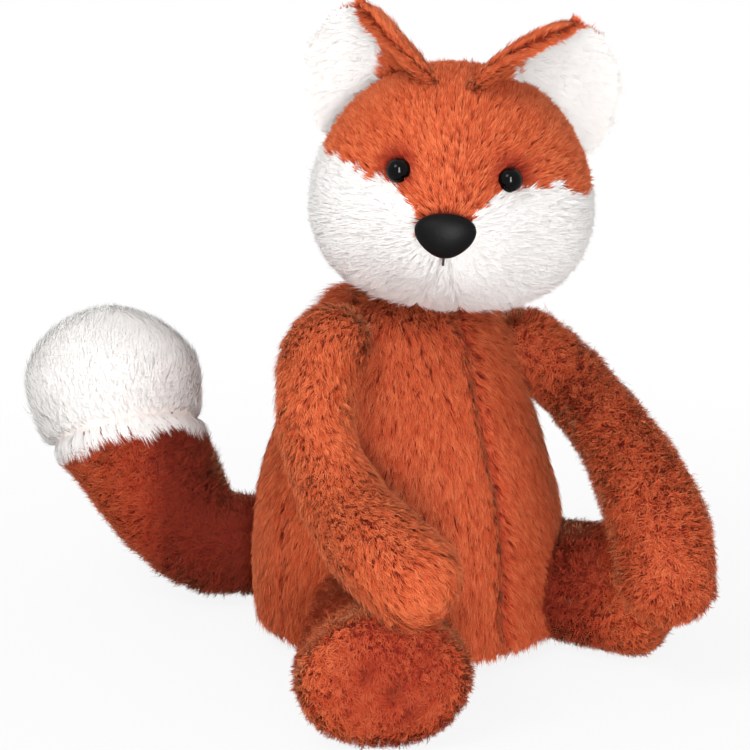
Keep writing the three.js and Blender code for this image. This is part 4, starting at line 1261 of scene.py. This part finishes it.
for seed, (side_name, side) in enumerate(SIDES.items()):
    ear = Ear(side)
    draw = np.random.default_rng(61 + seed)
    areas = [(*face_places(draw, ear, FRONT_SKIN[0]), FRONT_SKIN[0], "front"),
             (*face_places(draw, ear, BACK_SKIN[0]), BACK_SKIN[0], "back")]
    u, v = rim_places(draw)
    areas.append((u, v, draw.uniform(FRONT_SKIN[0], BACK_SKIN[0], len(u)), "rim"))
    grown = [ear_locks(draw, ear, side, *area) for area in areas]
    blades = [np.concatenate([part[0][k] for part in grown]) for k in range(3)]
    is_rust = np.concatenate([part[1] for part in grown])
    white_sheets = [ear_sheet(ear, side, (rust_reach(side), 1.0), FRONT_SKIN, -1.0)]
    rust_sheets = [ear_sheet(ear, side, (0.0, BACK_REACH), BACK_SKIN, 1.0),
                   ear_sheet(ear, side, (0.0, rust_reach(side)), FRONT_SKIN, -1.0)]
    ear_piece(side_name, "front", white_sheets, [rows[~is_rust] for rows in blades], "white_plush")
    ear_piece(side_name, "back", rust_sheets, [rows[is_rust] for rows in blades], "rust_plush")
print("ears done")

# %% [markdown]
# ## Eyes, nose and the stitch
#
# The eyes are polished black domes and the nose is a satin shield, each on a shank that goes through the cloth.
# They could be spheres, but a dome's flat back and the shield's shape are what make the face.

# %% Button finishes


def button_finish(name, colour, roughness, gloss, coat, bumps):
    made = Finish(name)
    grain = made.noise(900.0, 3.0)
    made.show(Base_Color=made.mix((grain - 0.4).held(), (*colour, 1), (*[c * 1.6 for c in colour], 1)))
    made.show(Roughness=((grain - 0.5) * 0.08 + roughness).held(), Specular_IOR_Level=gloss)
    made.show(Coat_Weight=coat, Coat_Roughness=0.03)
    if bumps:
        bump = made.node("Bump", None, {"Strength": bumps, "Distance": 0.0002, "Height": grain})
        made.show(Normal=bump)
    return made.material


def fibre_finish(name, low, high, scale):
    made = Finish(name)
    grain = made.noise(scale, 4.0, stretch=(1, 1, 2.5))
    bump = made.node("Bump", None, {"Strength": 0.5, "Distance": 0.001, "Height": grain})
    return made.show(Base_Color=made.mix(grain, (*low, 1), (*high, 1)), Roughness=0.95, Normal=bump)


thread_dark = fibre_finish("thread_dark", (0.03, 0.016, 0.012), (0.07, 0.04, 0.03), 1500.0)
eye_black = button_finish("eye_black", (0.0015, 0.0013, 0.0013), roughness=0.05, gloss=0.08, coat=0.04, bumps=0.0)
nose_black = button_finish("nose_black", (0.004, 0.0036, 0.004), roughness=0.5, gloss=0.07, coat=0.0, bumps=0.35)


def on_face(x, z):
    y = -HEAD_HALF[1]
    for _ in range(8):
        place = np.array([[x, y, z]])
        reach = head.reach(unit(place))[0]
        y = -math.sqrt(reach**2 - x * x - z * z)
    return np.array([x, y, z])


def face_seat(x, z):
    span = 6.0
    across = on_face(x + span, z) - on_face(x - span, z)
    upward = on_face(x, z + span) - on_face(x, z - span)
    outward = np.cross(across, upward)
    return on_face(x, z), outward / np.linalg.norm(outward)


def stood(points, seat):
    """Points made round +Z, stood on a place of the face."""
    place, outward = seat
    turn = Vector((0, 0, 1)).rotation_difference(Vector(outward)).to_matrix()
    return from_head(points @ np.array(turn).T + place)


def lathe(name, profile, sides, seat, material):
    rings = np.array(profile)
    turn = 2 * np.pi * np.arange(sides) / sides
    points = np.stack([rings[:, :1] * np.cos(turn), rings[:, :1] * np.sin(turn),
                       np.repeat(rings[:, 1:], sides, axis=1)], axis=-1).reshape(-1, 3)
    return closed_rings(name, stood(points, seat), len(rings), sides, material)


def closed_rings(name, points, rings, sides, material):
    index = np.arange(rings * sides).reshape(rings, sides)
    nxt = np.roll(index, -1, axis=1)
    four = np.stack([index[:-1], nxt[:-1], nxt[1:], index[1:]], axis=-1).reshape(-1, 4)
    caps = [list(index[0][::-1]), list(index[-1])]
    a, b, c, d = (points[four[:, k]] - points.mean(axis=0) for k in range(4))
    if (np.cross(c - a, d - b) * (a + b + c + d)).sum() < 0:
        four = four[:, ::-1]
        caps = [cap[::-1] for cap in caps]
    mesh = bpy.data.meshes.new(name)
    mesh.from_pydata([tuple(p) for p in points * METRES], [], [*four.tolist(), *caps])
    mesh.polygons.foreach_set("use_smooth", np.ones(len(mesh.polygons), bool))
    mesh.update()
    return shown(name, mesh, material)


# %% Eyes
EYE_RADIUS, EYE_DOME, EYE_SUNK = 4.5, 4.5, 1.0
for side_name, side in SIDES.items():
    arc = np.linspace(0, np.pi / 2 * 0.985, 16)
    profile = [(1.5, -9.0), (1.5, -EYE_SUNK - 0.3), (EYE_RADIUS * 0.97, -EYE_SUNK - 0.3)]
    profile += [(EYE_RADIUS * math.cos(t), -EYE_SUNK + EYE_DOME * math.sin(t)) for t in arc]
    seat = face_seat(side * EYE_OUT, EYE_UP)
    eye = lathe(f"{side_name}_eye_dome", profile, 36, seat, eye_black)
    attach(eye, "head")
    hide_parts(f"{side_name}_eye")

# %% Nose
NOSE_WIDTH, NOSE_HEIGHT, NOSE_DEPTH, NOSE_SUNK, NOSE_WIDENING = 21.0, 15.8, 10.0, 2.8, 0.25
NOSE_UP = -8.3
rings, sides = 22, 40
polar = np.linspace(0.02, np.pi - 0.02, rings)[:, None]
turn = (2 * np.pi * np.arange(sides) / sides)[None]
x, y, z = np.sin(polar) * np.cos(turn), np.sin(polar) * np.sin(turn), -np.cos(polar) + 0 * turn
pad = np.stack([x * (1 + NOSE_WIDENING * y) * NOSE_WIDTH / 2, y * NOSE_HEIGHT / 2,
                (z + 1) * NOSE_DEPTH / 2 - NOSE_SUNK], axis=-1).reshape(-1, 3)
nose = closed_rings("nose_shield", stood(pad, face_seat(NOSE_ASIDE, NOSE_UP)), rings, sides, nose_black)
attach(nose, "head")
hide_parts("nose")
print("eyes and nose done")

# %% Mouth stitch
STITCH_TOP, STITCH_FOOT, STITCH_THICK = -15.5, -20.3, 0.42
stitch_line = np.array([on_face(NOSE_ASIDE, z) for z in np.linspace(STITCH_TOP, STITCH_FOOT, 9)])
stitch_line[:, 1] += [0.6, 0.3, 0.1, 0, 0, 0, 0.2, 0.9, 2.4]
turn = 2 * np.pi * np.arange(8) / 8
ring = np.stack([np.cos(turn), np.sin(turn), 0 * turn], axis=-1) * STITCH_THICK
stitch_points = from_head((stitch_line[:, None] + ring[None]).reshape(-1, 3))
stitch = closed_rings("mouth_thread", stitch_points, 9, 8, thread_dark)
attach(stitch, "head")
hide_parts("mouth_stitch")

# %% [markdown]
# ## What is inside
#
# The fillings, the pouch of pellets and the washers don't show, but they are pieces of the toy. The fillings
# are soft, so each gets a rounder form of its own under the cloth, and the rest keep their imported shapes.

# %% Fillings
FILL_DEPTH = 7.5
filling_fibre = fibre_finish("filling_fibre", (0.68, 0.66, 0.6), (0.86, 0.84, 0.8), 220.0)
pouch_weave = fibre_finish("pouch_weave", (0.6, 0.56, 0.48), (0.72, 0.68, 0.6), 900.0)
pellet_plastic = fibre_finish("pellet_plastic", (0.5, 0.52, 0.54), (0.66, 0.68, 0.7), 400.0)
washer_plastic = fibre_finish("washer_plastic", (0.7, 0.7, 0.69), (0.8, 0.8, 0.79), 300.0)


def filling_piece(node, form, neighbours, body_name):
    rows, cols = 20, 24
    points = Cloth(form, FILL_DEPTH, neighbours).points(
        *np.meshgrid(np.arange(cols) / cols, (np.arange(rows) + 0.5) / rows))
    made = closed_rings(f"{node}_fibre", points.reshape(-1, 3), rows, cols, filling_fibre)
    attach(made, body_name)
    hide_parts(node)


filling_piece("body_stuffing", body, (), "torso")
filling_piece("head_stuffing", head, [(body, PILE_DEPTH)], "head")
filling_piece("tail_stuffing", tail, [(body, PILE_DEPTH)], "tail")
for side_name in SIDES:
    filling_piece(f"{side_name}_arm_stuffing", arms[side_name], [(body, 2.0), (legs[side_name], 2.0)],
                  f"{side_name}_arm")
    filling_piece(f"{side_name}_leg_stuffing", legs[side_name], [(body, 2.0)], f"{side_name}_leg")

kept = {"bead_pouch": pouch_weave, "bead_fill": pellet_plastic}
kept.update({f"{name}_washer": washer_plastic for name in ("right_eye", "left_eye", "nose")})
for node, material in kept.items():
    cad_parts[node].data.materials.clear()
    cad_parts[node].data.materials.append(material)
print("kept as packed:", sorted(kept))

# %% [markdown]
# ## Floor and light
#
# The photograph has a plain white ground. The floor takes the toy's soft shadow and is otherwise white to the
# camera, through Light Path, so that no extra light has to fall on the toy to make it so.

# %% Floor and world
FLOOR_GLOW, PURE_WHITE_FROM = 0.86, 0.4
floor_finish = Finish("floor_white")
floor_finish.show(Base_Color=(0.75, 0.75, 0.75, 1), Roughness=0.9, Specular_IOR_Level=0.0)
seen = floor_finish.seen()
glow = floor_finish.node("Emission", None, {"Color": (1, 1, 1, 1), "Strength": 1.0})
shader_out = Wire(floor_finish, floor_finish.shader.outputs[0])
place = floor_finish.node("TexCoord", output="Object")
away = floor_finish.node("VectorMath", {"operation": "LENGTH"}, {0: place}, output="Value")
share = (away * ((1 - FLOOR_GLOW) / PURE_WHITE_FROM) + FLOOR_GLOW).held()
mixed = floor_finish.node("MixShader", None, {0: seen * share, 1: shader_out, 2: glow})
floor_finish.tree.links.new(mixed.socket, floor_finish.tree.nodes["Material Output"].inputs[0])
FLOOR_HALF = 4.0
floor_mesh = bpy.data.meshes.new("floor")
floor_corners = [(-FLOOR_HALF, -FLOOR_HALF, 0), (FLOOR_HALF, -FLOOR_HALF, 0), (FLOOR_HALF, FLOOR_HALF, 0),
                 (-FLOOR_HALF, FLOOR_HALF, 0)]
floor_mesh.from_pydata(floor_corners, [], [(0, 1, 2, 3)])
floor = shown("floor", floor_mesh, floor_finish.material)

WORLD_BRIGHT, WORLD_DIM = 0.58, 0.32
KEY_AZIMUTH, KEY_ELEVATION = math.radians(-58), math.radians(48)
sky = Sky("studio")


def room_light(strength):
    return sky.node("Background", None, {"Color": (1, 1, 1, 1), "Strength": strength})


to_key = toward_camera(KEY_AZIMUTH, KEY_ELEVATION)
toward = sky.node("VectorMath", {"operation": "DOT_PRODUCT"}, {0: sky.node("TexCoord"), 1: to_key}, output="Value")
key_share = sky.node("Math", {"operation": "MULTIPLY_ADD"}, {0: toward, 1: 0.5, 2: 0.5})
room = sky.node("MixShader", None, {0: key_share, 1: room_light(WORLD_DIM), 2: room_light(WORLD_BRIGHT)})
join = sky.node("MixShader", None, {0: sky.seen(), 1: room, 2: room_light(1.0)})
sky.tree.links.new(join.socket, sky.tree.nodes.new("ShaderNodeOutputWorld").inputs["Surface"])
bpy.context.scene.world = sky.world


def softbox(name, azimuth, elevation, distance, size, power):
    light = bpy.data.lights.new(name, "AREA")
    light.shape = "RECTANGLE"
    light.size, light.size_y = size
    light.energy = power
    way = toward_camera(math.radians(azimuth), math.radians(elevation))
    return pointed(bpy.data.objects.new(name, light), aim + way * distance, aim)


softbox("key_softbox", azimuth=-74, elevation=50, distance=1.3, size=(0.45, 0.45), power=6.8)
softbox("front_softbox", azimuth=-30, elevation=4, distance=1.4, size=(0.4, 0.4), power=13.0)
catchlight = softbox("catchlight", azimuth=-30, elevation=24, distance=1.1, size=(0.2, 0.6), power=17.0)
catchlight.visible_diffuse = False
print("lights placed")

# %% [markdown]
# ## Counts, and the last lines
#
# The dressed toy may stand a little proud of the imported one. The last lines print how many pieces and blades
# were made, and the pieces with the most blades.

# %% Counts and finish
bpy.context.view_layer.update()
print("pieces:", len(made_pieces), "blades:", sum(count for _, count in made_pieces))
print("most blades:", sorted(made_pieces, key=lambda piece: -piece[1])[:5])
